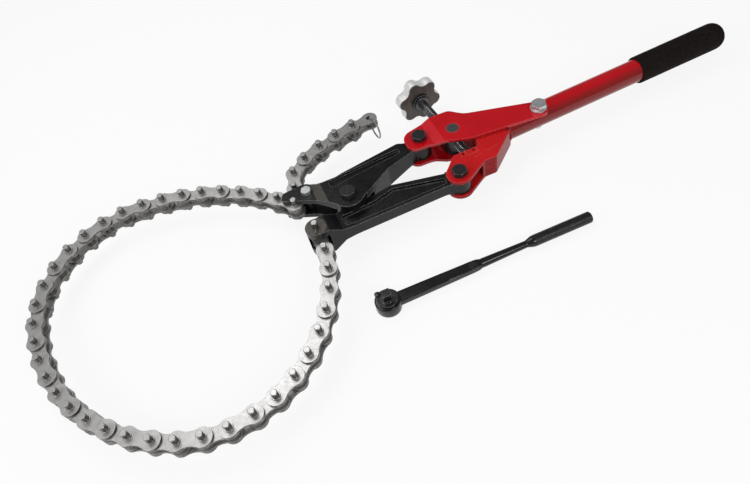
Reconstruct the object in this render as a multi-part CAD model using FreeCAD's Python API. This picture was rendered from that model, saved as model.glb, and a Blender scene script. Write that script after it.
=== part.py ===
"""Chain pipe vise: two pivoting jaws, an extended-pin chain, a compound lever and a feed screw.

All sizes are millimetres. X runs along the handle, Z is up and the origin is the lower end of the
jaw pivot bolt. The tool lies flat and is symmetric about a level mid-plane, so every solid is made
about z = 0 and lifted by MID_HEIGHT when it is written.
"""
import FreeCAD, Part
import math
import os

V = FreeCAD.Vector
UP = V(0, 0, 1)

# ---------------------------------------------------------------- clearances
RUN = 0.1              # radial clearance of a pin or bolt that turns in its bore
FACE_GAP = 0.3         # gap between flat faces that slide past each other
OPEN_PIVOT_GAP = 0.7   # radial play of the lever bolt in the hook jaw, where the linkage is opened
NOTCH_GAP = 0.8        # radial play of the hooked chain pin in the hook's notch

# ---------------------------------------------------------------- chain
PITCH = 25.4
PLATE_RADIUS = 10.0        # round end of a link plate
PLATE_WAIST = 7.2          # half width of a link plate between its pins
PLATE_THICKNESS = 2.4
INNER_GAP = 6.4            # between the two inner plates
BUSH_RADIUS = 5.4
CHAIN_PIN_RADIUS = 3.55
CHAIN_PIN_LENGTH = 34.0
RIVET_RADIUS = 4.6
RIVET_HEIGHT = 0.9
# Turn of each link of the loop against the one before it, from the anchor pin to the hooked pin.
LOOP_TURNS = (-8.28,) * 7 + (-10.99,) * 6 + (-6.79,) * 9 + (-11.72,) * 8 + (-5.99,) * 8
LOOP_START = -93.3         # heading of the first link, adjusted until the loop ends in the notch
TAIL_HEADINGS = (72.0, 75.0, 39.0, 24.0, 16.0, 11.0, 10.0)
RING_RADIUS = 14.0
RING_WIRE = 1.1
RING_GAP = 0.2
RING_HEADING = -85.0

# ---------------------------------------------------------------- jaws
ANCHOR = V(-49.5, -26.0)       # axis of the anchor pin
HOOK = V(-60.0, 28.5)          # axis of the hooked chain pin
LEVER_PIVOT = V(108.0, 42.5)   # lever bolt in the hook jaw
YOKE_PIVOT = V(124.0, -32.0)   # yoke bolt in the anchor jaw
HUB_RADIUS = 18.5              # round hubs of both jaws about the jaw pivot
HOOK_TOP = 15.0                # half height of the forked hook
HUB_TOP = 19.0                 # half height of the hook jaw over the pivot
HOOK_ARM = 11.0                # half height of the hook jaw's arm
ANCHOR_ARM = 7.5               # half height of the anchor jaw's arm
YOKE_BOSS_TOP = 9.7            # half height of the boss between the yoke's cheeks
EAR_RADIUS = 12.2
EAR_THICKNESS = 7.5
EAR_STUD = V(-38.0, -17.5)     # short stud under the anchor jaw's ear block
EAR_STUD_RADIUS = 3.3
ANCHOR_PIN_RISE = 9.0          # anchor pin above the upper ear
COTTER_RADIUS = 0.9
COTTER_HEADING = -105.0
EAR_TOP = 19.0                 # half height over the anchor ears
WEB = 3.5                      # half thickness of the anchor arm's web
PANEL_RISE = 1.2               # raised middle of the web
CHANNEL_DEPTH = 3.5            # depth of the channel along the hook jaw's arm
LEVER_BOSS_RADIUS = 13.0
YOKE_BOSS_RADIUS = 12.5

# ---------------------------------------------------------------- bolts
BOLT_RADIUS = 5.0              # jaw pivot, lever and yoke bolts
BOLT_HEX = 16.0                # across flats
BOLT_HEAD = 6.4
NUT_HEIGHT = 8.4
BOLT_TAIL = 2.1                # thread showing past a nut
FULCRUM_RADIUS = 5.0
FULCRUM_HEX = 16.0
FULCRUM_HEAD = 6.0
WASHER_THICKNESS = 1.5
HOOK_SCREW = V(-42.0, 32.0)
HOOK_SCREW_RADIUS = 3.5
HOOK_SCREW_HEX = 11.0
HOOK_SCREW_HEAD = 5.0
SPACER_RADIUS = 5.0

# ---------------------------------------------------------------- lever and feed screw
FULCRUM = V(250.0, 9.0)        # fulcrum bolt through the lever plates and the handle tube
LEVER_THICKNESS = 3.5
TRUNNION = V(148.5, 33.5)      # axis of the trunnion nut in the lever plates
SEAT = V(151.0, -4.5)          # where the screw's foot bears on the yoke
TRUNNION_PIN_RADIUS = 7.7
TRUNNION_RADIUS = 13.0
SCREW_RADIUS = 6.0
SCREW_LEAD = 2.0               # advance per turn
FOOT_RADIUS = 8.5
FOOT_HEIGHT = 9.0
FOOT_FLOOR = 3.0               # metal under the screw tip
KNOB_REACH = 84.0              # from the trunnion axis to the near face of the knob
KNOB_RADIUS = 30.2
KNOB_LOBES = 6
KNOB_LOBE_RADIUS = 8.5
KNOB_VALLEY_RADIUS = 9.0
KNOB_THICKNESS = 23.0
KNOB_TURN = 15.0           # turn of the lobes about the screw
COLLAR_RADIUS = 12.0
COLLAR_THICKNESS = 4.0

# ---------------------------------------------------------------- handle
HANDLE_AXIS_Y = 14.5
HANDLE_TILT = 1.5              # heading of the tube in degrees
TUBE_RADIUS = 14.3
TUBE_WALL = 2.6
TUBE_START = 201.0
GRIP_START = 394.0
GRIP_END = 519.0
GRIP_WALL = 2.6            # foam outside the bore gap
GRIP_END_WALL = 5.0
GRIP_END_ROUND = 11.9      # rounding of the closed end, as far as its wall allows
GRIP_LEAST_WALL = 0.3      # foam between that rounding and the corner of the bore
GRIP_BORE_GAP = 0.1
WELD = 3.0
YOKE_THICKNESS = 3.5
YOKE_END_RADIUS = 15.3
SEAT_WIDTH = 14.5
SEAT_DEPTH = 8.0

# ---------------------------------------------------------------- ratchet handle
RATCHET = V(-12.0, -128.5)
RATCHET_TURN = -1.2
RATCHET_HEAD_RADIUS = 14.2
RATCHET_HEAD_HEIGHT = 15.0
RATCHET_COVER_RADIUS = 11.5
RATCHET_COVER_HEIGHT = 2.5
DRIVE_SQUARE = 9.5
DRIVE_LENGTH = 11.0
DRIVE_NECK_RADIUS = 7.5
SHANK_WIDTH = 14.5
SHANK_TIP_WIDTH = 9.0
SHANK_HEIGHT = 8.0
SHANK_END = 172.0
RATCHET_GRIP_RADIUS = 6.6
RATCHET_LENGTH = 242.0

# ---------------------------------------------------------------- heights that follow
INNER_HALF = INNER_GAP / 2 + PLATE_THICKNESS
CHAIN_HALF = INNER_HALF + FACE_GAP + PLATE_THICKNESS
FORK_HALF = CHAIN_HALF + RIVET_HEIGHT + FACE_GAP
TONGUE_HALF = FORK_HALF - 2 * FACE_GAP
YOKE_INNER = YOKE_BOSS_TOP + FACE_GAP
YOKE_OUTER = YOKE_INNER + YOKE_THICKNESS
GRIP_RADIUS = TUBE_RADIUS + GRIP_BORE_GAP + GRIP_WALL
LEVER_INNER = TUBE_RADIUS + FACE_GAP
LEVER_OUTER = LEVER_INNER + LEVER_THICKNESS
LEVER_NOSE_INNER = HOOK_ARM + FACE_GAP
LEVER_NOSE_OUTER = LEVER_NOSE_INNER + LEVER_THICKNESS
MID_HEIGHT = HUB_TOP + NUT_HEIGHT + BOLT_TAIL
TALL = 3 * MID_HEIGHT


# ================================================================ small helpers
def polar(radius, degrees):
    """Point at a radius and a heading in the plane."""
    angle = math.radians(degrees)
    return V(radius * math.cos(angle), radius * math.sin(angle))


def disc(centre, radius, low, high):
    """Upright cylinder between two heights."""
    return Part.makeCylinder(radius, high - low, V(centre.x, centre.y, low), UP)


def ring(centre, outer, inner, low, high):
    """Upright ring between two heights."""
    return disc(centre, outer, low, high).cut(disc(centre, inner, low - 1, high + 1))


def outline(corners):
    """Face of a polygon whose corners (x, y, radius) are rounded by tangent arcs."""
    points = [V(x, y) for x, y, radius in corners]
    count = len(points)
    starts, middles, ends = [], [], []
    for i, (x, y, radius) in enumerate(corners):
        back = points[i - 1] - points[i]
        ahead = points[(i + 1) % count] - points[i]
        shorter = min(back.Length, ahead.Length)
        back.normalize()
        ahead.normalize()
        half = back.getAngle(ahead) / 2
        reach = min(radius / math.tan(half), 0.49 * shorter)
        radius = reach * math.tan(half)
        middle_way = (back + ahead).normalize()
        starts.append(points[i] + back * reach)
        ends.append(points[i] + ahead * reach)
        middles.append(points[i] + middle_way * (radius / math.sin(half) - radius))
    edges = []
    for i in range(count):
        if starts[i].distanceToPoint(ends[i]) > 1e-4:
            edges.append(Part.Arc(starts[i], middles[i], ends[i]).toShape())
        edges.append(Part.LineSegment(ends[i], starts[(i + 1) % count]).toShape())
    return Part.Face(Part.Wire(edges))


def prism(face, low, high):
    """Solid of a plane face between two heights."""
    solid = face.extrude(V(0, 0, high - low))
    solid.translate(V(0, 0, low))
    return solid


def side_profile(points, low_y, high_y):
    """Solid of a closed x-z polygon, mirrored about the mid-plane and run along Y."""
    upper = [V(x, low_y, z) for x, z in points]
    lower = [V(x, low_y, -z) for x, z in reversed(points)]
    face = Part.Face(Part.makePolygon(upper + lower + upper[:1]))
    return face.extrude(V(0, high_y - low_y, 0))


def both_sides(solid):
    """The solid and its mirror image below the mid-plane."""
    return [solid, solid.mirror(V(0, 0, 0), UP)]


def fuse(first, others):
    """One solid of several that touch or overlap."""
    return first.multiFuse(list(others)).removeSplitter()


def cut(first, others):
    """First solid less the others."""
    return first.cut(Part.makeCompound(list(others)))


def hexagon(centre, flats, low, high, turn=0.0):
    """Hexagonal prism with the edges of its outer face chamfered by a cone."""
    corner = flats / math.sqrt(3)
    points = [centre + polar(corner, turn + 60 * i) for i in range(7)]
    body = prism(Part.Face(Part.makePolygon(points)), low, high)
    height = high - low
    slope = corner - flats / 2 * 0.98
    cone = Part.makeCone(corner + height - slope * 0.6, corner - slope * 0.6, height, V(centre.x, centre.y, low), UP)
    return body.common(cone)


def flip(solid):
    """Mirror image below the mid-plane."""
    return solid.mirror(V(0, 0, 0), UP)


def along(solid, start, heading):
    """Solid made at the origin along +X, set at a point with a heading in degrees."""
    placed = solid.copy()
    move = FreeCAD.Placement(V(start.x, start.y, 0), FreeCAD.Rotation(UP, heading))
    placed.Placement = move.multiply(solid.Placement)
    return placed


def bolt(centre, radius, flats, head, seat, tip, turn=0.0):
    """Hex bolt: its head stands on the seat height and its shank ends at the tip height below."""
    shank = disc(centre, radius, tip, seat + head / 2)
    shank = shank.makeChamfer(radius * 0.12, [shank.Edges[2]])
    return fuse(hexagon(centre, flats, seat, seat + head, turn), [shank])


def nut(centre, radius, flats, seat, height, turn=0.0):
    """Hex nut under a face, at the seat height below the mid-plane."""
    body = flip(hexagon(centre, flats, seat, seat + height, turn))
    return body.cut(disc(centre, radius, -seat - height - 1, -seat + 1))


# ================================================================ chain
def link_outline():
    """Figure-of-eight plate about two pins, the first at the origin and the second at one pitch."""
    half = PITCH / 2
    fillet = (half ** 2 + PLATE_WAIST ** 2 - PLATE_RADIUS ** 2) / (2 * (PLATE_RADIUS - PLATE_WAIST))
    rise = PLATE_WAIST + fillet
    share = PLATE_RADIUS / (PLATE_RADIUS + fillet)
    touch = V(half * share, rise * share)
    far = V(PITCH - touch.x, touch.y)
    edges = [
        Part.Arc(V(touch.x, -touch.y), V(-PLATE_RADIUS, 0), touch).toShape(),
        Part.Arc(touch, V(half, PLATE_WAIST), far).toShape(),
        Part.Arc(far, V(PITCH + PLATE_RADIUS, 0), V(far.x, -far.y)).toShape(),
        Part.Arc(V(far.x, -far.y), V(half, -PLATE_WAIST), V(touch.x, -touch.y)).toShape(),
    ]
    return Part.Face(Part.Wire(edges))


def inner_link():
    """Two inner plates pressed on two bushes."""
    face = link_outline()
    plates = both_sides(prism(face, INNER_GAP / 2, INNER_HALF))
    ends = (V(0, 0), V(PITCH, 0))
    bushes = [disc(end, BUSH_RADIUS, -INNER_HALF, INNER_HALF) for end in ends]
    bores = [disc(end, CHAIN_PIN_RADIUS + RUN, -CHAIN_HALF, CHAIN_HALF) for end in ends]
    return cut(fuse(plates[0], plates[1:] + bushes), bores)


def chain_pin(centre):
    """Long chain pin with chamfered ends and a rivet shoulder on each outer plate."""
    half = CHAIN_PIN_LENGTH / 2
    pin = disc(centre, CHAIN_PIN_RADIUS, -half, half)
    pin = pin.makeChamfer(0.6, [edge for edge in pin.Edges if edge.Closed])
    return fuse(pin, both_sides(disc(centre, RIVET_RADIUS, CHAIN_HALF - 1, CHAIN_HALF + RIVET_HEIGHT)))


def outer_link():
    """Two outer plates riveted to two long pins."""
    face = link_outline()
    plates = both_sides(prism(face, CHAIN_HALF - PLATE_THICKNESS, CHAIN_HALF))
    return fuse(plates[0], plates[1:] + [chain_pin(V(0, 0)), chain_pin(V(PITCH, 0))])


def walk(start, headings):
    """Pin positions of links laid one after another."""
    points = [start]
    for heading in headings:
        points.append(points[-1] + polar(PITCH, heading))
    return points


def loop_headings():
    """Headings of the loop's links, with the first and every turn adjusted so that it ends at HOOK."""
    def headings(start, extra):
        result = [start]
        for turn in LOOP_TURNS[1:]:
            result.append(result[-1] + turn + extra)
        return result

    start, extra = LOOP_START, 0.0
    for attempt in range(30):
        miss = HOOK - walk(ANCHOR, headings(start, extra))[-1]
        if miss.Length < 1e-9:
            break
        step = 1e-4
        by_start = (walk(ANCHOR, headings(start + step, extra))[-1] + miss - HOOK) * (1 / step)
        by_extra = (walk(ANCHOR, headings(start, extra + step))[-1] + miss - HOOK) * (1 / step)
        area = by_start.x * by_extra.y - by_extra.x * by_start.y
        start += (miss.x * by_extra.y - by_extra.x * miss.y) / area
        extra += (by_start.x * miss.y - miss.x * by_start.y) / area
    return headings(start, extra)


def chain_headings():
    """Headings of every link from the anchor pin to the end of the tail."""
    return loop_headings() + list(TAIL_HEADINGS)


def chain_points():
    """Pin positions from the anchor pin to the end hole."""
    return walk(ANCHOR, chain_headings())


def chain_nodes():
    """Pairs of an inner and an outer link round the loop, then single links and the ring."""
    inner, outer = inner_link(), outer_link()
    headings = chain_headings()
    points = chain_points()
    loop_links = len(LOOP_TURNS)
    nodes = {}
    for first in range(0, loop_links, 2):
        pair = [along(inner, points[first], headings[first]), along(outer, points[first + 1], headings[first + 1])]
        nodes["chain_pair_%02d" % (first // 2 + 1)] = pair
    for number in range(loop_links, len(headings)):
        kind = inner if number % 2 == 0 else outer
        nodes["tail_link_%d" % (number - loop_links + 1)] = [along(kind, points[number], headings[number])]
    nodes["end_ring"] = [end_ring(points[-1])]
    return nodes


def end_ring(hole):
    """Upright wire ring that bears on both rims of the end hole and goes round the edge of the last link."""
    lean = math.asin(INNER_HALF / RING_RADIUS)
    wire_edge = RING_RADIUS * (1 - math.cos(lean)) + RING_WIRE / math.cos(lean)
    seated = CHAIN_PIN_RADIUS + RUN - wire_edge - RING_GAP
    centre = hole + polar(RING_RADIUS + seated, RING_HEADING)
    side = polar(1, RING_HEADING + 90)
    return Part.makeTorus(RING_RADIUS, RING_WIRE, centre, side)


# ================================================================ jaws
def hook_plan():
    """Plan outline of the hook jaw's fork, without its hub and arm."""
    return outline([
        (-73.0, 33.5, 3), (-69.0, 44.5, 7), (-40.0, 46.5, 12), (-25.0, 33.5, 12), (-4.0, 33.0, 20), (40.0, 42.6, 0),
        (40.0, 10.0, 0), (32.0, 3.0, 6), (12.0, -13.0, 0), (-13.0, -12.0, 0), (-36.0, 14.5, 25),
    ])


def hook_arm_plan():
    """Plan outline of the hook jaw's arm, between the hub and the lever boss."""
    end = LEVER_PIVOT
    return outline([
        (20.0, 38.2, 0), (end.x - 26.0, end.y + 9.2, 7), (end.x - 19.0, end.y + 6.0, 5), (end.x - 4.0, end.y + 5.0, 0),
        (end.x - 4.0, end.y - 8.0, 0), (end.x - 52.0, end.y - 25.0, 20), (20.0, -8.0, 0),
    ])


def hook_jaw():
    """Forked hook, hub over the pivot and tapering arm to the lever bolt."""
    plan = fuse(prism(hook_plan(), -TALL, TALL), [
        disc(V(0, 0), HUB_RADIUS, -TALL, TALL),
        prism(hook_arm_plan(), -TALL, TALL),
        disc(LEVER_PIVOT, LEVER_BOSS_RADIUS, -TALL, TALL),
    ])
    boss = LEVER_PIVOT.x - 20.0
    far = LEVER_PIVOT.x + 2 * LEVER_BOSS_RADIUS
    side = side_profile([
        (HOOK.x - 40, HOOK_TOP), (-35, HOOK_TOP), (-24, HUB_TOP), (5, HUB_TOP), (boss, HOOK_ARM), (far, HOOK_ARM),
    ], -TALL, TALL)
    body = plan.common(side)
    fork = Part.makeBox(29.0 + 120.0, 2 * TALL, 2 * FORK_HALF, V(-120.0, -TALL, -FORK_HALF))
    mouth = HOOK + polar(TALL, math.degrees(math.atan2(-0.846, -0.533)))
    notch_radius = CHAIN_PIN_RADIUS + NOTCH_GAP
    notch = fuse(disc(HOOK, notch_radius, -TALL, TALL), [slot(HOOK, mouth, notch_radius, -TALL, TALL)])
    channel = prism(outline([
        (-15.5, 30.0, 4), (boss - 9.0, 43.0, 3), (boss - 9.0, 35.5, 3), (-13.0, 18.5, 4)]), 0, TALL)
    floor = side_profile([
        (-60, HUB_TOP - CHANNEL_DEPTH), (5, HUB_TOP - CHANNEL_DEPTH), (boss, HOOK_ARM - CHANNEL_DEPTH),
        (far, HOOK_ARM - CHANNEL_DEPTH)], -TALL, TALL)
    return cut(body, [
        fork, notch,
        disc(V(0, 0), BOLT_RADIUS + RUN, -TALL, TALL),
        disc(LEVER_PIVOT, BOLT_RADIUS + OPEN_PIVOT_GAP, -TALL, TALL),
        disc(HOOK_SCREW, HOOK_SCREW_RADIUS + RUN, -TALL, TALL),
    ] + both_sides(channel.cut(floor)))


def slot(start, end, half_width, low, high):
    """Straight slot from one point to another."""
    way = end - start
    side = V(-way.y, way.x).normalize() * half_width
    corners = [start + side, end + side, end - side, start - side, start + side]
    return prism(Part.Face(Part.makePolygon(corners)), low, high)


def anchor_plan():
    """Plan outline of the anchor jaw, without its round ends."""
    ear, end = ANCHOR, YOKE_PIVOT
    low = -37.4
    return outline([
        (ear.x + 3.0, ear.y + EAR_RADIUS - 0.6, 0), (-22.0, -11.0, 8), (-10.0, -8.0, 0), (12.0, -8.0, 0),
        (22.0, -7.5, 10), (48.0, -2.0, 15), (end.x - 6.0, end.y + YOKE_BOSS_RADIUS - 1.0, 0),
        (end.x, end.y - YOKE_BOSS_RADIUS + 0.5, 0), (end.x - 18.0, low, 30), (-20.0, low, 30), (ear.x, ear.y - EAR_RADIUS, 0),
    ])


def anchor_pocket():
    """Recess along the anchor jaw's arm with a slightly raised panel inside it."""
    end = YOKE_PIVOT
    edge = [(-18.0, -17.0), (24.0, -15.0), (50.0, -8.5), (end.x - 16.0, end.y + 7.0), (end.x - 16.0, end.y - 1.0), (-18.0, -32.4)]
    recess = prism(outline([(x, y, 3) for x, y in edge]), WEB, TALL)
    panel = prism(outline([(x, y, 3) for x, y in edge]).makeOffset2D(-2.2), WEB, WEB + PANEL_RISE)
    return recess.cut(panel)


def anchor_jaw():
    """Two ears on the anchor pin, tongue round the pivot and I-section arm to the yoke bolt."""
    plan = fuse(prism(anchor_plan(), -TALL, TALL), [
        disc(V(0, 0), HUB_RADIUS, -TALL, TALL),
        disc(ANCHOR, EAR_RADIUS, -TALL, TALL),
        disc(YOKE_PIVOT, YOKE_BOSS_RADIUS, -TALL, TALL),
    ])
    boss = YOKE_PIVOT.x - YOKE_BOSS_RADIUS
    far = YOKE_PIVOT.x + 2 * YOKE_BOSS_RADIUS
    side = side_profile([
        (ANCHOR.x - 30, EAR_TOP), (ANCHOR.x + EAR_RADIUS, EAR_TOP), (-22, ANCHOR_ARM + 1.5), (-8, ANCHOR_ARM),
        (boss - 1, ANCHOR_ARM), (boss, YOKE_BOSS_TOP), (far, YOKE_BOSS_TOP),
    ], -TALL, TALL)
    body = plan.common(side)
    ear_gap = EAR_TOP - EAR_THICKNESS
    link_space = disc(ANCHOR, PLATE_RADIUS + 2.0, -ear_gap, ear_gap)
    swing = slot(ANCHOR, ANCHOR + polar(TALL, LOOP_START), PLATE_RADIUS + 2.0, -ear_gap, ear_gap)
    relief = both_sides(disc(V(0, 0), HUB_RADIUS + 6.0, TONGUE_HALF, TALL))
    return cut(body, [
        link_space, swing,
        disc(EAR_STUD, EAR_STUD_RADIUS, -TALL, -EAR_TOP + 6.0),
        disc(V(0, 0), BOLT_RADIUS, -TALL, TALL),
        disc(ANCHOR, CHAIN_PIN_RADIUS, -TALL, TALL),
        disc(YOKE_PIVOT, BOLT_RADIUS + RUN, -TALL, TALL),
    ] + relief + both_sides(anchor_pocket()))


def cotter_pin():
    """Straight cotter through the anchor pin, just above the ear."""
    length = 4 * CHAIN_PIN_RADIUS + 2.0
    start = ANCHOR - polar(length * 0.4, COTTER_HEADING)
    height = EAR_TOP + COTTER_RADIUS + FACE_GAP
    return Part.makeCylinder(COTTER_RADIUS, length, V(start.x, start.y, height), polar(1, COTTER_HEADING))


def jaw_nodes():
    """Both jaws with their pins and screws."""
    pin_top = EAR_TOP + ANCHOR_PIN_RISE
    anchor_pin = disc(ANCHOR, CHAIN_PIN_RADIUS, -EAR_TOP - 2.0, pin_top)
    anchor_pin = anchor_pin.makeChamfer(0.6, [edge for edge in anchor_pin.Edges if edge.Closed])
    cotter = cotter_pin()
    screw_tip = -HOOK_TOP - HOOK_SCREW_HEAD - BOLT_TAIL
    return {
        "anchor_jaw": [anchor_jaw()],
        "hook_jaw": [hook_jaw()],
        "jaw_pivot_bolt": [bolt(V(0, 0), BOLT_RADIUS, BOLT_HEX, BOLT_HEAD, HUB_TOP, -MID_HEIGHT, 14)],
        "jaw_pivot_nut": [nut(V(0, 0), BOLT_RADIUS, BOLT_HEX, HUB_TOP, NUT_HEIGHT, 14)],
        "anchor_pin": [anchor_pin.cut(cotter)],
        "anchor_cotter": [cotter],
        "ear_stud": [disc(EAR_STUD, EAR_STUD_RADIUS, -EAR_TOP - 4.0, -EAR_TOP + 6.0)],
        "hook_screw": [bolt(HOOK_SCREW, HOOK_SCREW_RADIUS, HOOK_SCREW_HEX, HOOK_SCREW_HEAD, HOOK_TOP, screw_tip, 10)],
        "hook_screw_nut": [nut(HOOK_SCREW, HOOK_SCREW_RADIUS, HOOK_SCREW_HEX, HOOK_TOP, HOOK_SCREW_HEAD)],
        "hook_spacer": [ring(HOOK_SCREW, SPACER_RADIUS, HOOK_SCREW_RADIUS, -FORK_HALF, FORK_HALF)],
    }


# ================================================================ lever
def lever_plan():
    """Plan outline of the upper lever plate, with its bulge round the trunnion."""
    nose, end = LEVER_PIVOT, FULCRUM
    return outline([
        (nose.x - 18.0, nose.y + 14.0, 15), (TRUNNION.x - 15.5, TRUNNION.y + 31.5, 30),
        (TRUNNION.x + 8.5, TRUNNION.y + 30.0, 10), (TRUNNION.x + 22.5, TRUNNION.y + 15.0, 25),
        (end.x + 5.0, end.y + 10.5, 10), (end.x + 11.0, end.y - 14.5, 10),
        (TRUNNION.x + 10.5, TRUNNION.y - 26.5, 30), (nose.x + 6.0, nose.y - 17.0, 30), (nose.x - 18.0, nose.y - 16.0, 15),
    ])


def short_lever_plan():
    """Plan outline of the lower lever plate, which ends just past the trunnion."""
    nose = LEVER_PIVOT
    return outline([
        (nose.x - 18.0, nose.y + 14.0, 15), (TRUNNION.x - 15.5, TRUNNION.y + 31.5, 30),
        (TRUNNION.x + 8.5, TRUNNION.y + 30.0, 10), (TRUNNION.x + 26.0, TRUNNION.y + 14.0, 14),
        (TRUNNION.x + 26.0, TRUNNION.y - 16.0, 14), (TRUNNION.x + 10.5, TRUNNION.y - 24.0, 20),
        (nose.x + 6.0, nose.y - 17.0, 30), (nose.x - 18.0, nose.y - 16.0, 15),
    ])


def lever_plate(plan):
    """Lever plate above the mid-plane: its nose steps in to the hook jaw through a slanted joggle."""
    step_end = TRUNNION.x - TRUNNION_RADIUS - 4.0
    step_start = step_end - 12.0
    left, right = LEVER_PIVOT.x - 40, FULCRUM.x + 40
    inner = [(left, LEVER_NOSE_INNER), (step_start, LEVER_NOSE_INNER), (step_end, LEVER_INNER), (right, LEVER_INNER)]
    outer = [(left, LEVER_NOSE_OUTER), (step_start, LEVER_NOSE_OUTER), (step_end, LEVER_OUTER), (right, LEVER_OUTER)]
    points = [V(x, -TALL, z) for x, z in inner + outer[::-1] + inner[:1]]
    sheet = Part.Face(Part.makePolygon(points)).extrude(V(0, 3 * TALL, 0))
    plate = prism(plan, 0, TALL).common(sheet)
    return cut(plate, [
        disc(LEVER_PIVOT, BOLT_RADIUS, -TALL, TALL),
        disc(TRUNNION, TRUNNION_PIN_RADIUS + RUN, -TALL, TALL),
        disc(FULCRUM, FULCRUM_RADIUS, -TALL, TALL),
    ])


def screw_frame(solid):
    """Solid made along +X from the trunnion axis, turned onto the screw's line towards the knob."""
    line = TRUNNION - SEAT
    return along(solid, TRUNNION, math.degrees(math.atan2(line.y, line.x)))


def rod(radius, start, end):
    """Round bar along X."""
    return Part.makeCylinder(radius, end - start, V(start, 0, 0), V(1, 0, 0))


def seat_distance():
    """Distance from the trunnion axis to the seat."""
    return (TRUNNION - SEAT).Length


def trunnion_nut():
    """Cross-drilled nut with a round pin at each end."""
    body = disc(V(0, 0), TRUNNION_RADIUS, -LEVER_INNER + FACE_GAP, LEVER_INNER - FACE_GAP)
    pins = disc(V(0, 0), TRUNNION_PIN_RADIUS, -LEVER_OUTER, LEVER_OUTER)
    solid = fuse(body, [pins])
    return screw_frame(solid.cut(rod(SCREW_RADIUS + RUN, -TALL, TALL)))


def star_plan():
    """Outline of the star knob: round lobes joined by round valleys."""
    lobe_centre = KNOB_RADIUS - KNOB_LOBE_RADIUS
    edges = []
    half = 180.0 / KNOB_LOBES
    valley_centre = lobe_centre * math.cos(math.radians(half)) + math.sqrt(
        (KNOB_LOBE_RADIUS + KNOB_VALLEY_RADIUS) ** 2 - (lobe_centre * math.sin(math.radians(half))) ** 2)
    share = KNOB_LOBE_RADIUS / (KNOB_LOBE_RADIUS + KNOB_VALLEY_RADIUS)
    for i in range(KNOB_LOBES):
        middle = 2 * half * i + half
        centre = polar(lobe_centre, middle)
        before = centre + (polar(valley_centre, middle - half) - centre) * share
        after = centre + (polar(valley_centre, middle + half) - centre) * share
        following = polar(lobe_centre, middle + 2 * half)
        onward = following + (polar(valley_centre, middle + half) - following) * share
        edges.append(Part.Arc(before, polar(KNOB_RADIUS, middle), after).toShape())
        edges.append(Part.Arc(after, polar(valley_centre - KNOB_VALLEY_RADIUS, middle + half), onward).toShape())
    return Part.Face(Part.Wire(edges))


def star_knob():
    """Cast star knob with a hub on its near side and a domed far side."""
    blank = prism(star_plan(), 0, KNOB_THICKNESS)
    dome = Part.makeSphere(KNOB_RADIUS * 1.45, V(0, 0, KNOB_THICKNESS - KNOB_RADIUS * 1.45 + 0.5))
    body = blank.common(dome)
    body = body.cut(disc(V(0, 0), SCREW_RADIUS - 1.5, -1, KNOB_THICKNESS * 0.7))
    body.rotate(V(0, 0, 0), UP, KNOB_TURN)
    body.rotate(V(0, 0, 0), V(0, 1, 0), 90)
    body.translate(V(KNOB_REACH, 0, 0))
    return screw_frame(body)


def screw_nodes():
    """Feed screw with its foot, collar and knob."""
    reach = seat_distance()
    foot_face = -reach + FACE_GAP
    tip = foot_face + FOOT_FLOOR
    foot = rod(FOOT_RADIUS, foot_face, foot_face + FOOT_HEIGHT)
    foot = foot.makeChamfer(1.0, [edge for edge in foot.Edges if edge.Closed])
    foot = foot.cut(rod(SCREW_RADIUS + RUN, tip - RUN, foot_face + FOOT_HEIGHT + 1))
    shank = rod(SCREW_RADIUS, tip, KNOB_REACH - COLLAR_THICKNESS)
    stub = rod(SCREW_RADIUS - 1.5, KNOB_REACH - COLLAR_THICKNESS, KNOB_REACH + KNOB_THICKNESS * 0.7)
    collar = rod(COLLAR_RADIUS, KNOB_REACH - COLLAR_THICKNESS, KNOB_REACH)
    collar = collar.cut(rod(SCREW_RADIUS - 1.5, KNOB_REACH - 2 * COLLAR_THICKNESS, KNOB_REACH + 1))
    return {
        "screw_foot": [screw_frame(foot)],
        "feed_screw": [screw_frame(fuse(shank, [stub]))],
        "knob_collar": [screw_frame(collar)],
        "star_knob": [star_knob()],
    }


def lever_nodes():
    """Two lever plates, their bolts and the trunnion nut."""
    bolt_seat = LEVER_OUTER + WASHER_THICKNESS
    washer = ring(FULCRUM, FULCRUM_RADIUS * 2, FULCRUM_RADIUS, LEVER_OUTER, bolt_seat)
    lever_tip = -LEVER_NOSE_OUTER - NUT_HEIGHT - BOLT_TAIL
    return {
        "lever_plate_top": [lever_plate(lever_plan())],
        "lever_plate_bottom": [flip(lever_plate(short_lever_plan()))],
        "lever_bolt": [bolt(LEVER_PIVOT, BOLT_RADIUS, BOLT_HEX, BOLT_HEAD, LEVER_NOSE_OUTER, lever_tip, 20)],
        "lever_nut": [nut(LEVER_PIVOT, BOLT_RADIUS, BOLT_HEX, LEVER_NOSE_OUTER, NUT_HEIGHT, 20)],
        "fulcrum_bolt": [bolt(FULCRUM, FULCRUM_RADIUS, FULCRUM_HEX, FULCRUM_HEAD, bolt_seat, -0.8 * TUBE_RADIUS, 5)],
        "fulcrum_washer": [washer],
        "trunnion_nut": [trunnion_nut()],
    }


# ================================================================ handle
def yoke_plan():
    """Plan outline of a yoke cheek, without its round end."""
    end, top = YOKE_PIVOT, HANDLE_AXIS_Y + TUBE_RADIUS
    tube_side = HANDLE_AXIS_Y - TUBE_RADIUS
    return outline([
        (end.x - 12.0, end.y + YOKE_END_RADIUS - 6.0, 0), (end.x + 6.0, SEAT.y + 0.5, 5), (SEAT.x + 12.0, SEAT.y, 3),
        (SEAT.x + 14.0, SEAT.y + 14.0, 6), (SEAT.x + 26.0, top, 10), (TUBE_START, top, 0), (TUBE_START, tube_side, 0),
        (TUBE_START + 7.0, tube_side, 0), (end.x + 48.0, end.y + 1.5, 6),
        (end.x + 33.0, end.y + 2.0, 8), (end.x + 22.0, end.y - 4.5, 8), (end.x + 8.0, end.y - YOKE_END_RADIUS + 2.2, 0),
    ])


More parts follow.
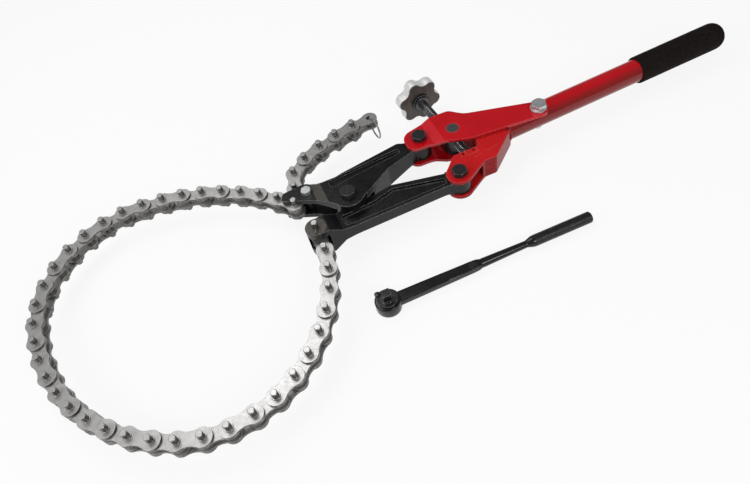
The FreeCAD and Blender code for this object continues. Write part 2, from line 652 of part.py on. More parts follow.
def yoke():
    """Folded channel: two cheeks on the anchor jaw joined by a wall along their lower and upper edges."""
    cheek = fuse(prism(yoke_plan(), YOKE_INNER, YOKE_OUTER), [disc(YOKE_PIVOT, YOKE_END_RADIUS, YOKE_INNER, YOKE_OUTER)])
    inside = yoke_plan().makeOffset2D(-YOKE_THICKNESS)
    wall = prism(yoke_plan(), -YOKE_INNER, YOKE_INNER).cut(prism(inside, -YOKE_OUTER, YOKE_OUTER))
    lower = V(YOKE_PIVOT.x + 30.0, YOKE_PIVOT.y - 20.0, -YOKE_INNER)
    upper = V(SEAT.x + 30.0, HANDLE_AXIS_Y, -YOKE_INNER)
    walls = [
        wall.common(Part.makeBox(TALL, -lower.y + HANDLE_AXIS_Y - TUBE_RADIUS, 2 * YOKE_INNER, lower)),
        wall.common(Part.makeBox(TUBE_START - YOKE_THICKNESS - upper.x, TALL, 2 * YOKE_INNER, upper)),
    ]
    body = fuse(cheek, [flip(cheek)] + walls)
    return cut(body, [disc(YOKE_PIVOT, BOLT_RADIUS, -TALL, TALL), seat_block(0.0)])


def seat_block(trim):
    """Block between the cheeks under the screw's foot, with a tab through each cheek."""
    line = TRUNNION - SEAT
    body = Part.makeBox(SEAT_DEPTH, SEAT_WIDTH + 6.0, 2 * (YOKE_INNER - trim), V(-SEAT_DEPTH, -SEAT_WIDTH / 2 - 3.0, -YOKE_INNER + trim))
    tab = Part.makeBox(SEAT_DEPTH, SEAT_WIDTH, 2 * YOKE_OUTER, V(-SEAT_DEPTH, -SEAT_WIDTH / 2, -YOKE_OUTER))
    return along(fuse(body, [tab]), SEAT, math.degrees(math.atan2(line.y, line.x)))


def handle_frame(solid):
    """Solid made along +X from the tube's start, turned onto the tube's axis."""
    return along(solid, V(TUBE_START, HANDLE_AXIS_Y), HANDLE_TILT)


def handle_tube():
    """Round tube with a closed far end and a fillet weld where it meets the yoke."""
    length = GRIP_END - GRIP_END_WALL - TUBE_START
    weld = Part.makeCone(TUBE_RADIUS + WELD, TUBE_RADIUS, WELD, V(0, 0, 0), V(1, 0, 0))
    weld = weld.common(Part.makeBox(2 * WELD, TALL, 2 * YOKE_OUTER, V(0, -TALL / 2, -YOKE_OUTER)))
    solid = fuse(rod(TUBE_RADIUS, 0, length), [weld])
    tube = handle_frame(solid.cut(rod(TUBE_RADIUS - TUBE_WALL, -1, length - TUBE_WALL)))
    square_end = Part.makeBox(TALL, TALL, TALL, V(TUBE_START - TALL, HANDLE_AXIS_Y - TALL / 2, -TALL / 2))
    beside_yoke = prism(yoke_plan(), -YOKE_OUTER, YOKE_OUTER)
    return cut(tube, [square_end, beside_yoke, disc(FULCRUM, FULCRUM_RADIUS + RUN, -TALL, TALL)])


def grip():
    """Foam sleeve with a rounded closed end."""
    start, end = GRIP_START - TUBE_START, GRIP_END - TUBE_START
    sleeve = rod(GRIP_RADIUS, start, end)
    far = [edge for edge in sleeve.Edges if edge.Closed and edge.CenterOfMass.x > end - 1]
    ahead, beside = GRIP_END_WALL - GRIP_LEAST_WALL, GRIP_WALL - GRIP_LEAST_WALL
    allowed = GRIP_LEAST_WALL + ahead + beside + math.sqrt(2 * ahead * beside)
    sleeve = sleeve.makeFillet(min(GRIP_END_ROUND, allowed), far)
    near = [edge for edge in sleeve.Edges if edge.Closed and edge.CenterOfMass.x < start + 1]
    sleeve = sleeve.makeFillet(1.5, near)
    return handle_frame(sleeve.cut(rod(TUBE_RADIUS + GRIP_BORE_GAP, start - 1, end - GRIP_END_WALL)))


def handle_nodes():
    """Yoke, its seat block and bolt, the tube and the grip."""
    tip = -YOKE_OUTER - NUT_HEIGHT - BOLT_TAIL
    return {
        "yoke": [yoke()],
        "yoke_seat": [seat_block(0.0)],
        "yoke_bolt": [bolt(YOKE_PIVOT, BOLT_RADIUS, BOLT_HEX, BOLT_HEAD, YOKE_OUTER, tip, 25)],
        "yoke_nut": [nut(YOKE_PIVOT, BOLT_RADIUS, BOLT_HEX, YOKE_OUTER, NUT_HEIGHT, 25)],
        "handle_tube": [handle_tube()],
        "foam_grip": [grip()],
    }


# ================================================================ ratchet handle
def ratchet_nodes():
    """Ratchet handle that lies beside the tool: body, cover, square drive and selector."""
    floor = -MID_HEIGHT
    top = floor + RATCHET_HEAD_HEIGHT
    selector_axis = polar(DRIVE_NECK_RADIUS + 4.4, 128)
    head = disc(V(0, 0), RATCHET_HEAD_RADIUS, floor, top)
    head = head.makeFillet(2.0, [edge for edge in head.Edges if edge.Closed])
    shank_low = floor + (RATCHET_HEAD_HEIGHT - SHANK_HEIGHT) / 2
    taper = Part.Face(Part.makePolygon([
        V(0, -SHANK_WIDTH / 2), V(SHANK_END, -SHANK_TIP_WIDTH / 2), V(SHANK_END, SHANK_TIP_WIDTH / 2),
        V(0, SHANK_WIDTH / 2), V(0, -SHANK_WIDTH / 2)]))
    shank = prism(taper, shank_low, shank_low + SHANK_HEIGHT)
    axis_height = shank_low + SHANK_HEIGHT / 2
    handle = Part.makeCylinder(RATCHET_GRIP_RADIUS, RATCHET_LENGTH - SHANK_END, V(SHANK_END, 0, axis_height), V(1, 0, 0))
    handle = handle.makeFillet(RATCHET_GRIP_RADIUS * 0.5, [edge for edge in handle.Edges if edge.Closed])
    socket = disc(V(0, 0), DRIVE_NECK_RADIUS + RUN, floor + 3.0, TALL)
    selector_well = disc(selector_axis, 3.0 + RUN, top - 2.0, TALL)
    body = cut(fuse(head, [shank, handle]), [socket, selector_well])
    cover = ring(V(0, 0), RATCHET_COVER_RADIUS, DRIVE_NECK_RADIUS + RUN, top, top + RATCHET_COVER_HEIGHT)
    cover = cover.cut(disc(selector_axis, 4.5, top - 1, TALL))
    neck = disc(V(0, 0), DRIVE_NECK_RADIUS, floor + 3.0 + RUN, top + RATCHET_COVER_HEIGHT + 0.5)
    square = Part.makeBox(DRIVE_SQUARE, DRIVE_SQUARE, DRIVE_LENGTH,
                          V(-DRIVE_SQUARE / 2, -DRIVE_SQUARE / 2, top + RATCHET_COVER_HEIGHT))
    square = square.makeChamfer(0.8, [edge for edge in square.Edges if edge.BoundBox.ZMin > top + RATCHET_COVER_HEIGHT + 1])
    ball = Part.makeSphere(1.6, V(DRIVE_SQUARE / 2 - 0.6, 0, top + RATCHET_COVER_HEIGHT + DRIVE_LENGTH * 0.5))
    drive = fuse(neck, [square, ball])
    selector = fuse(disc(selector_axis, 3.0, top - 2.0 + RUN, top + 3.0), [
        disc(selector_axis, 4.0, top + FACE_GAP, top + 3.0),
        slot(selector_axis, selector_axis + polar(9.0, 120), 2.2, top + FACE_GAP, top + 3.0),
        disc(selector_axis + polar(9.0, 120), 2.2, top + FACE_GAP, top + 3.0),
    ])
    nodes = {"ratchet_body": body, "ratchet_cover": cover, "ratchet_drive": drive, "ratchet_selector": selector}
    return {name: [along(solid, RATCHET, RATCHET_TURN)] for name, solid in nodes.items()}


# ================================================================ whole tool
def all_nodes():
    """Every node by name, as a list of solids about the mid-plane."""
    nodes = {}
    nodes.update(jaw_nodes())
    nodes.update(lever_nodes())
    nodes.update(screw_nodes())
    nodes.update(handle_nodes())
    nodes.update(chain_nodes())
    nodes.update(ratchet_nodes())
    return nodes


def main():
    """Write one STEP file per node."""
    os.makedirs("parts", exist_ok=True)
    for name, solids in all_nodes().items():
        shape = solids[0].copy() if len(solids) == 1 else Part.makeCompound(solids)
        shape.translate(V(0, 0, MID_HEIGHT))
        shape.exportStep("parts/%s.step" % name)


if __name__ == "__main__":
    main()
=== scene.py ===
"""Dresses the chain pipe vise: finishes for its metal parts and the fine forms that they carry.

The CAD nodes keep their places. The threaded screw, the star knob, the foam grip, the ratchet's forging
with its knurl and button, and the weld beads are modelled here as separate pieces, and every surface gets
a finish made of shader nodes.
"""

import logging
import math
from collections.abc import Callable, Iterable
from dataclasses import dataclass, replace
from enum import Enum

import bmesh
import bpy
from mathutils import Matrix, Vector


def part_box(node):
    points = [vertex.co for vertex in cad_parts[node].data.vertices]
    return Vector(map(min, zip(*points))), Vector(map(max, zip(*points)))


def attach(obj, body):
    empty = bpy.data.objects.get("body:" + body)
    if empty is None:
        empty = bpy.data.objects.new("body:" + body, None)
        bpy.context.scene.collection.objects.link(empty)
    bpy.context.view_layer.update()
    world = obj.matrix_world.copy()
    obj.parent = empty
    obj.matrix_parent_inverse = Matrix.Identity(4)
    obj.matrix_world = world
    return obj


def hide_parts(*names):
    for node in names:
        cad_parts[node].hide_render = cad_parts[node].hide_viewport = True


Piece = bpy.types.Object
Material = bpy.types.Material
Node = bpy.types.Node
Socket = bpy.types.NodeSocket
Colour = tuple[float, float, float]
Triple = tuple[float, float, float]
Span = tuple[float, float]
Stations = tuple[tuple[float, ...], ...]

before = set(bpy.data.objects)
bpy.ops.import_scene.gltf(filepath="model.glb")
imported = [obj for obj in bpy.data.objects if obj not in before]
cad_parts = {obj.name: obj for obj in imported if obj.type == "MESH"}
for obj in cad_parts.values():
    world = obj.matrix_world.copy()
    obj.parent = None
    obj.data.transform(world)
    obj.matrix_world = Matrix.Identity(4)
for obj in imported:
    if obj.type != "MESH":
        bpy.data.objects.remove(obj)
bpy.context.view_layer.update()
LOG = logging.getLogger("chain_vise")
MM = 0.001
MID_HEIGHT = 29.5 * MM

# -------- finishes
BEVEL_SAMPLES = 6
PATCH_SPAN = (0.35, 0.65)  # noise over which one tone gives way to the other
SMEAR_SPAN = (0.3, 0.7)  # noise over which the roughness changes
SMEAR_SIZE = 0.4  # blotches of the roughness against those of the tones
SMEAR_DETAIL = 4.0
GRAIN_DETAIL = 2.0
COAT_ROUGHNESS = 0.1
EDGE_REACH = 1.2  # reach of the painted edge highlight against the rounding
EDGE_SPAN = (0.02, 0.2)  # bend of the surface over which the painted edge highlight comes up
SIDE_SPAN = (0.25, 0.8)  # how level a face is while its painted side shade goes
SPOT_RIM = (0.5 * MM, 0.3 * MM)  # fading rim of a spot, inside and outside its radius
# Patches that break up the painted edge highlight, the painted side shade and the spots: size of their
# noise, the noise over which they come up, and the least that they leave.
EDGE_HIGHLIGHT_PATCHES = (2.5 * MM, (0.35, 0.6), 0.3)
SIDE_SHADE_PATCHES = (4 * MM, (0.3, 0.6), 0.7)
SPOT_WEAR_AND_SHADE_PATCHES = (5 * MM, (0.25, 0.5), 0.75)


class Sheen(Enum):
    """How the clear layer over a finish looks."""

    BARE = 0.0
    SATIN = 0.25
    GLOSS = 0.7


class Wiring:
    """A node tree while it is being wired."""

    def __init__(self, tree: bpy.types.NodeTree) -> None:
        """Take up the nodes of a material or a world."""
        self.tree = tree

    def add(self, kind: str, **settings: object) -> Node:
        """Add a node and set its properties.

        Args:
            kind: the node's type name.
            settings: properties to set on it.

        Returns:
            The new node.
        """
        node = self.tree.nodes.new(kind)
        for key, value in settings.items():
            setattr(node, key, value)
        return node

    def link(self, source: Socket, target: Socket) -> None:
        """Join an output to an input."""
        self.tree.links.new(source, target)

    def feed(self, node: Node, values: dict) -> Node:
        """Set or link several inputs of a node.

        Args:
            node: the node.
            values: input name or number, to a socket or a plain value.

        Returns:
            The same node.
        """
        for key, value in values.items():
            if isinstance(value, Socket):
                self.link(value, node.inputs[key])
            else:
                node.inputs[key].default_value = value
        return node

    def remap(self, value: Socket, span: Span, ends: Span) -> Socket:
        """Clamped straight map from one span to another.

        Args:
            value: the socket to map.
            span: values that give the first and the last result.
            ends: the first and the last result.

        Returns:
            The mapped socket.
        """
        node = self.add("ShaderNodeMapRange")
        self.feed(node, {"Value": value, "From Min": span[0], "From Max": span[1], "To Min": ends[0],
                         "To Max": ends[1]})
        return node.outputs["Result"]

    def math(self, operation: str, first: object, second: object = 0.0) -> Socket:
        """One arithmetic step.

        Args:
            operation: Blender's name for it.
            first: socket or number.
            second: socket or number.

        Returns:
            The result socket.
        """
        node = self.add("ShaderNodeMath", operation=operation)
        return self.feed(node, {0: first, 1: second}).outputs[0]


class Graph(Wiring):
    """A material's node graph while it is being wired."""

    def __init__(self, name: str) -> None:
        """Start an empty material under its name."""
        self.material = bpy.data.materials.new(name)
        self.material.use_nodes = True
        super().__init__(self.material.node_tree)
        self.tree.nodes.clear()
        self.output = self.add("ShaderNodeOutputMaterial")
        self.shader = self.add("ShaderNodeBsdfPrincipled")
        self.link(self.shader.outputs["BSDF"], self.output.inputs["Surface"])
        coordinates = self.add("ShaderNodeTexCoord")
        self.place = coordinates.outputs["Object"]
        self.facing = coordinates.outputs["Normal"]

    def noise(self, size: float, detail: float = 3.0) -> Socket:
        """Cloudy noise between 0 and 1.

        Args:
            size: size of its blotches in metres.
            detail: layers of finer noise.

        Returns:
            The noise.
        """
        node = self.add("ShaderNodeTexNoise")
        self.feed(node, {"Vector": self.place, "Scale": 1.0 / size, "Detail": detail, "Roughness": 0.55})
        return node.outputs["Fac"]

    def wear_and_light_patches(self, size: float, span: Span, least: float) -> Socket:
        """Share that noise brings down in places; it breaks up the painted edge highlight, the painted side
        shade and the spots.

        Args:
            size: size of the noise's blotches in metres.
            span: noise over which the share comes up to one.
            least: the smallest share.

        Returns:
            The share.
        """
        return self.remap(self.noise(size), span, (least, 1.0))

    def mix(self, share: object, first: object, second: object) -> Socket:
        """Blend of two colours.

        Args:
            share: how much of the second, 0 to 1.
            first: colour or socket.
            second: colour or socket.

        Returns:
            The blended colour.
        """
        node = self.add("ShaderNodeMix", data_type="RGBA")
        return self.feed(node, {0: share, 6: rgba(first), 7: rgba(second)}).outputs[2]

    def rounded(self, radius: float) -> Socket:
        """Normal of the surface with its edges rounded off to a radius in metres."""
        node = self.add("ShaderNodeBevel", samples=BEVEL_SAMPLES)
        return self.feed(node, {"Radius": radius}).outputs["Normal"]

    def edge_mask(self, radius: float) -> Socket:
        """Mask that is high within a radius in metres of sharp edges, and 0 on flat ground."""
        dot = self.add("ShaderNodeVectorMath", operation="DOT_PRODUCT")
        flat = self.add("ShaderNodeNewGeometry")
        self.feed(dot, {0: self.rounded(radius), 1: flat.outputs["Normal"]})
        return self.math("SUBTRACT", 1.0, dot.outputs["Value"])


def rgba(colour: object) -> object:
    """Colour with an alpha of one, or the socket as it is."""
    return colour if isinstance(colour, Socket) else (*colour[:3], 1.0)


@dataclass(frozen=True)
class Finish:
    """A metal, enamel or foam surface.

    Two tones drift into each other in blotches, a fine grain dents the surface, and sharp edges are
    rounded off and may carry a painted highlight. Upright faces may carry painted shade, faces that look
    along one way a painted highlight on some finishes and painted shade on others, and round spots a
    colour of their own: worn bare metal on one finish, painted shade in small holes on another.
    """

    name: str
    tone: Colour
    second_tone: Colour
    metal: float
    rough: Span
    blotch: float = 12 * MM
    grain: float = 0.8 * MM
    grain_depth: float = 0.03 * MM
    edge_radius: float = 0.5 * MM
    # Painted highlight on rounded edges: its colour and how much of it shows.
    edge_highlight_tone: Colour | None = None
    edge_highlight_share: float = 0.6
    sheen: Sheen = Sheen.BARE
    gleam: float = 0.5
    # Painted shade on upright faces.
    side_shade_tone: Colour | None = None
    # Round spots and their colour: worn bare metal on one finish, painted shade in small holes on another.
    spots: tuple[Triple, ...] = ()
    spot_tone: Colour = (0.085, 0.074, 0.064)
    # Faces that look along one way get a painted highlight on some finishes and painted shade on others.
    faced: Triple | None = None
    faced_shading_tone: Colour = (0.1, 0.09, 0.08)
    faced_shading_span: Span = (0.55, 0.9)

    def build(self) -> Material:
        """Make the material.

        Returns:
            The finished material.
        """
        graph = Graph(self.name)
        patches = graph.remap(graph.noise(self.blotch), PATCH_SPAN, (0.0, 1.0))
        colour = graph.mix(patches, self.tone, self.second_tone)
        # Painted shade on upright faces, painted highlight or shade on faces that look one way, painted edge
        # highlight, then the spots.
        if self.side_shade_tone is not None:
            colour = graph.mix(self.side_shade_share(graph), colour, self.side_shade_tone)
        if self.faced is not None:
            colour = graph.mix(self.faced_shading_share(graph), colour, self.faced_shading_tone)
        if self.edge_highlight_tone is not None:
            colour = graph.mix(self.edge_highlight_share_at(graph), colour, self.edge_highlight_tone)
        for spot in self.spots:
            colour = graph.mix(self.spot_share(graph, spot), colour, self.spot_tone)
        smear = graph.noise(self.blotch * SMEAR_SIZE, SMEAR_DETAIL)
        graph.feed(graph.shader, {
            "Base Color": colour, "Metallic": self.metal, "Specular IOR Level": self.gleam,
            "Roughness": graph.remap(smear, SMEAR_SPAN, self.rough), "Coat Weight": self.sheen.value,
            "Coat Roughness": COAT_ROUGHNESS, "Normal": self.surface(graph)})
        return graph.material

    def side_shade_share(self, graph: Graph) -> Socket:
        """How much of the painted side shade shows: all on upright faces and none on level ones."""
        parts = graph.add("ShaderNodeSeparateXYZ")
        graph.link(graph.facing, parts.inputs[0])
        upright = graph.remap(graph.math("ABSOLUTE", parts.outputs["Z"]), SIDE_SPAN, (1.0, 0.0))
        return graph.math("MULTIPLY", upright, graph.wear_and_light_patches(*SIDE_SHADE_PATCHES))

    def faced_shading_share(self, graph: Graph) -> Socket:
        """How much of the faced colour, a painted highlight on some finishes and painted shade on others,
        shows: all on faces that look along the given way.
        """
        toward = graph.add("ShaderNodeVectorMath", operation="DOT_PRODUCT")
        graph.feed(toward, {0: graph.facing, 1: self.faced})
        return graph.remap(toward.outputs["Value"], self.faced_shading_span, (0.0, 1.0))

    def spot_share(self, graph: Graph, spot: Triple) -> Socket:
        """How much of the spot colour shows in a round spot about an upright axis; spots are worn bare
        metal on the anchor jaw and painted shade in the yoke's small holes.

        Args:
            graph: the material's graph.
            spot: the axis and the radius.

        Returns:
            The share.
        """
        x, y, radius = spot
        flat = graph.add("ShaderNodeVectorMath", operation="MULTIPLY")
        graph.feed(flat, {0: graph.place, 1: (1.0, 1.0, 0.0)})
        away = graph.add("ShaderNodeVectorMath", operation="DISTANCE")
        graph.feed(away, {0: flat.outputs[0], 1: (x, y, 0.0)})
        inside = graph.remap(away.outputs["Value"], (radius - SPOT_RIM[0], radius + SPOT_RIM[1]), (1.0, 0.0))
        return graph.math("MULTIPLY", inside, graph.wear_and_light_patches(*SPOT_WEAR_AND_SHADE_PATCHES))

    def edge_highlight_share_at(self, graph: Graph) -> Socket:
        """How much of the painted edge highlight shows, broken up by noise."""
        mask = graph.remap(graph.edge_mask(self.edge_radius * EDGE_REACH), EDGE_SPAN, (0.0, self.edge_highlight_share))
        return graph.math("MULTIPLY", mask, graph.wear_and_light_patches(*EDGE_HIGHLIGHT_PATCHES))

    def surface(self, graph: Graph) -> Socket:
        """Normal of the rounded and grained surface."""
        node = graph.add("ShaderNodeBump")
        graph.feed(node, {"Distance": self.grain_depth, "Height": graph.noise(self.grain, GRAIN_DETAIL),
                          "Normal": graph.rounded(self.edge_radius)})
        return node.outputs["Normal"]


# Painted highlight on the rounded edges of the castings.
CAST_BLACK = Finish(
    name="cast_black", tone=(0.005, 0.005, 0.0055), second_tone=(0.010, 0.0098, 0.010), metal=0.0,
    rough=(0.22, 0.36), blotch=14 * MM, grain=1.6 * MM, grain_depth=0.2 * MM, edge_radius=1.2 * MM,
    edge_highlight_tone=(0.36, 0.36, 0.365), edge_highlight_share=0.8, gleam=0.3)
# The hook jaw's sloped faces are painted lighter as a painted highlight.
HOOK_BLACK = replace(
    CAST_BLACK, name="hook_black", faced=(-0.34, 0.0, 0.94), faced_shading_tone=(0.07, 0.065, 0.058),
    faced_shading_span=(0.968, 0.985))
ANCHOR_BLACK = replace(
    CAST_BLACK, name="anchor_black", spots=((-49.5 * MM, -26.0 * MM, 12.3 * MM),))
# Painted highlight on the edges and painted shade on the upright sides of plates and pins.
CHAIN_STEEL = Finish(
    name="chain_steel", tone=(0.48, 0.476, 0.468), second_tone=(0.57, 0.565, 0.555), metal=0.85,
    rough=(0.36, 0.43), blotch=7 * MM, grain=0.6 * MM, grain_depth=0.01 * MM,
    edge_highlight_tone=(0.70, 0.695, 0.68), side_shade_tone=(0.12, 0.11, 0.10))
# Painted highlight on the rounded edges and on the sloped faces of the lever's joggle.
RED_ENAMEL = Finish(
    name="red_enamel", tone=(0.52, 0.0012, 0.007), second_tone=(0.58, 0.002, 0.009), metal=0.0,
    rough=(0.25, 0.35), blotch=30 * MM, grain=3 * MM, grain_depth=0.012 * MM, edge_radius=2.0 * MM,
    edge_highlight_tone=(0.84, 0.17, 0.17), sheen=Sheen.GLOSS, gleam=0.05, faced=(-0.265, 0.0, 0.964),
    faced_shading_tone=(0.62, 0.012, 0.02), faced_shading_span=(0.984, 0.996))
# Painted shade on the yoke's upright walls, and two near-black spots painted as the shade in small holes.
YOKE_ENAMEL = replace(
    RED_ENAMEL, name="yoke_enamel", tone=(0.60, 0.013, 0.015), second_tone=(0.53, 0.010, 0.013),
    faced=None, spots=((141.3 * MM, -7.6 * MM, 1.6 * MM), (154.4 * MM, -7.4 * MM, 1.6 * MM)),
    spot_tone=(0.012, 0.002, 0.002), side_shade_tone=(0.26, 0.004, 0.006), sheen=Sheen.SATIN)
# Painted shade on the tube's side that faces the front.
TUBE_ENAMEL = replace(
    RED_ENAMEL, name="tube_enamel", faced=(0.026, -1.0, 0.0), faced_shading_tone=(0.25, 0.012, 0.012),
    faced_shading_span=(0.3, 0.85))
# Painted highlight on the edges of bolts and nuts.
BLACK_OXIDE = Finish(
    name="black_oxide", tone=(0.022, 0.022, 0.024), second_tone=(0.036, 0.036, 0.039), metal=0.4,
    rough=(0.24, 0.36), blotch=4 * MM, grain=0.6 * MM, grain_depth=0.02 * MM, edge_radius=0.8 * MM,
    edge_highlight_tone=(0.36, 0.36, 0.37), edge_highlight_share=0.8)
# Top faces painted lighter than the body as a painted highlight.
TRUNNION_OXIDE = replace(
    BLACK_OXIDE, name="trunnion_oxide", faced=(0.0, 0.0, 1.0), faced_shading_tone=(0.088, 0.088, 0.09),
    faced_shading_span=(0.7, 0.95))
# Painted highlight on the thread's edges.
SCREW_STEEL = Finish(
    name="screw_steel", tone=(0.03, 0.03, 0.033), second_tone=(0.06, 0.06, 0.064), metal=0.9,
    rough=(0.2, 0.32), blotch=3 * MM, grain=0.4 * MM, grain_depth=0.01 * MM, edge_radius=0.15 * MM,
    edge_highlight_tone=(0.5, 0.5, 0.5), edge_highlight_share=0.8)
# The crests are painted lighter as a painted highlight.
SCREW_CREST_HIGHLIGHT = replace(
    SCREW_STEEL, name="screw_crest_highlight", tone=(0.20, 0.20, 0.21), second_tone=(0.30, 0.30, 0.31))
# Painted highlight on the edges.
NECK_STEEL = Finish(
    name="neck_steel", tone=(0.10, 0.10, 0.11), second_tone=(0.16, 0.16, 0.17), metal=0.9,
    rough=(0.26, 0.4), blotch=6 * MM, grain=0.6 * MM, grain_depth=0.01 * MM, edge_highlight_tone=(0.3, 0.3, 0.31),
    edge_highlight_share=0.5)
BRIGHT_ZINC = Finish(
    name="bright_zinc", tone=(0.62, 0.63, 0.64), second_tone=(0.74, 0.75, 0.76), metal=0.8,
    rough=(0.26, 0.4), blotch=6 * MM, grain_depth=0.004 * MM)
WIRE = Finish(
    name="wire", tone=(0.30, 0.30, 0.31), second_tone=(0.42, 0.42, 0.42), metal=0.9, rough=(0.25, 0.4),
    blotch=3 * MM, grain=0.4 * MM, grain_depth=0.008 * MM, edge_radius=0.2 * MM)
# Painted highlight on the rims and painted shade on the near face.
KNOB_CAST = Finish(
    name="knob_cast", tone=(0.76, 0.76, 0.75), second_tone=(0.88, 0.88, 0.87), metal=0.3,
    rough=(0.38, 0.55), blotch=6 * MM, grain=0.9 * MM, grain_depth=0.1 * MM, edge_radius=0.8 * MM,
    edge_highlight_tone=(0.9, 0.9, 0.89), edge_highlight_share=0.4, faced=(0.065, -0.998, 0.0),
    faced_shading_tone=(0.085, 0.07, 0.06))
# Painted highlight on the edges.
RATCHET_BLACK = Finish(
    name="ratchet_black", tone=(0.006, 0.006, 0.007), second_tone=(0.013, 0.013, 0.015), metal=0.3,
    rough=(0.2, 0.34), blotch=6 * MM, grain_depth=0.02 * MM, edge_radius=0.9 * MM,
    edge_highlight_tone=(0.40, 0.40, 0.41), edge_highlight_share=0.7)
FORGED_BLACK = Finish(
    name="forged_black", tone=(0.009, 0.009, 0.0095), second_tone=(0.016, 0.016, 0.017), metal=0.3,
    rough=(0.16, 0.26), blotch=20 * MM, grain=2 * MM, grain_depth=0.008 * MM, edge_radius=0.3 * MM)
# Faint painted highlight on the knurl's edges.
KNURLED_BLACK = Finish(
    name="knurled_black", tone=(0.012, 0.012, 0.013), second_tone=(0.022, 0.022, 0.024), metal=0.3,
    rough=(0.3, 0.45), blotch=5 * MM, grain=0.6 * MM, edge_radius=0.1 * MM,
    edge_highlight_tone=(0.07, 0.07, 0.072), edge_highlight_share=0.8)
FOAM = Finish(
    name="foam", tone=(0.0068, 0.0042, 0.0034), second_tone=(0.014, 0.0095, 0.008), metal=0.0,
    rough=(0.8, 0.95), blotch=3 * MM, grain=0.7 * MM, grain_depth=0.15 * MM, edge_radius=0.8 * MM,
    gleam=0.15)


# -------- work on pieces
BEAD_SIDES = 14
BEAD_DROP = 1.6  # length of a weld bead's drop, in half widths
BEAD_END = 0.35  # how wide a weld bead is at its ends, as a share


def clear_selection() -> None:
    """Leave every object out of the selection."""
    bpy.ops.object.select_all(action="DESELECT")


def select_only(piece: Piece) -> None:
    """Make a piece the only selected one and the active one."""
    clear_selection()
    piece.select_set(True)
    bpy.context.view_layer.objects.active = piece


def new_piece(name: str) -> Piece:
    """The primitive that was just added, under its own name."""
    piece = bpy.context.active_object
    piece.name = name
    piece.data.name = name
    return piece


def settle(piece: Piece, body: str, finish: Material, stands_for: Iterable[str] = (),
           smooth: float = 35.0) -> None:
    """Apply a piece's place, dress it and set it riding on its body.

    Args:
        piece: the object.
        body: the CAD body that it moves with.
        finish: its material.
        stands_for: CAD nodes that it replaces.
        smooth: angle in degrees under which edges look smooth.
    """
    select_only(piece)
    for modifier in list(piece.modifiers):
        bpy.ops.object.modifier_apply(modifier=modifier.name)
    bpy.ops.object.transform_apply(location=True, rotation=True, scale=True)
    bpy.ops.object.shade_smooth_by_angle(angle=math.radians(smooth))
    piece.data.materials.clear()
    piece.data.materials.append(finish)
    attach(piece, body)
    if stands_for:
        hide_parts(*stands_for)
    LOG.info("%s rides on %s with %d faces", piece.name, body, len(piece.data.polygons))


def dress(names: Iterable[str], finish: Material) -> None:
    """Give CAD nodes a finish.

    Args:
        names: the nodes.
        finish: their material.
    """
    for name in names:
        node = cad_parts[name]
        if not node.material_slots:
            node.data.materials.append(finish)
        for slot in node.material_slots:
            slot.material = finish


def reshape(piece: Piece, rule: Callable[[Vector], Vector]) -> None:
    """Move every point of a piece by a rule.

    Args:
        piece: the object.
        rule: gives the new place of a point.
    """
    for point in piece.data.vertices:
        point.co = rule(point.co.copy())
    piece.data.update()


def stand(piece: Piece, place: Triple, heading: float) -> None:
    """Set a piece made along +X at a place, turned to a heading about the vertical.

    Args:
        piece: the object.
        place: where its origin goes, in metres.
        heading: degrees from +X.
    """
    piece.data.transform(Matrix.Translation(place) @ Matrix.Rotation(math.radians(heading), 4, "Z"))


def round_rims(piece: Piece, width: float, segments: int, angle: float = 30.0) -> str:
    """Round off the sharp edges of a piece.

    Args:
        piece: the object.
        width: width of the rounding in millimetres.
        segments: faces across it.
        angle: bend in degrees above which an edge is sharp.

    Returns:
        The modifier's name.
    """
    rim = piece.modifiers.new("soft_rim", "BEVEL")
    rim.width = width * MM
    rim.segments = segments
    rim.limit_method = "ANGLE"
    rim.angle_limit = math.radians(angle)
    return rim.name


def sizes_at(stations: Stations, along: float) -> tuple[float, ...]:
    """Sizes at a distance, running straight from station to station.

    Args:
        stations: distance and sizes of each station.
        along: the distance.

    Returns:
        The sizes there.
    """
    for (low, *before), (high, *after) in zip(stations, stations[1:]):
        if along <= high:
            share = max(0.0, along - low) / (high - low)
            return tuple(first + (last - first) * share for first, last in zip(before, after))
    return stations[-1][1:]


def upright_cylinder(name: str, radius: float, height: float, sides: int, middle: float) -> Piece:
    """Closed upright cylinder about the Z axis.

    Args:
        name: the piece's name.
        radius: its radius in millimetres.
        height: its height in millimetres.
        sides: points round it.
        middle: height of its middle in millimetres.

    Returns:
        The new piece.
    """
    clear_selection()
    bpy.ops.mesh.primitive_cylinder_add(vertices=sides, radius=radius * MM, depth=height * MM,
                                        location=(0, 0, middle * MM))
    piece = new_piece(name)
    bpy.ops.object.transform_apply(location=True, rotation=True, scale=True)
    return piece


def turned_cylinder(name: str, radius: float, length: float, sides: int, rings: int) -> Piece:
    """Closed cylinder along +X from the origin with evenly spaced rings.

    Args:
        name: the piece's name.
        radius: its radius.
        length: its length.
        sides: points round it.
        rings: number of spans along it.

    Returns:
        The new piece.
    """
    clear_selection()
    bpy.ops.mesh.primitive_cylinder_add(vertices=sides, radius=radius, depth=length, end_fill_type="NGON",
                                        location=(length / 2, 0, 0), rotation=(0, math.radians(90), 0))
    piece = new_piece(name)
    bpy.ops.object.transform_apply(location=True, rotation=True, scale=True)
    mesh = bmesh.new()
    mesh.from_mesh(piece.data)
    long_edges = [edge for edge in mesh.edges
                  if abs(edge.verts[0].co.x - edge.verts[1].co.x) > length / 2]
    bmesh.ops.subdivide_edges(mesh, edges=long_edges, cuts=rings - 1, use_grid_fill=False)
    mesh.to_mesh(piece.data)
    mesh.free()
    return piece


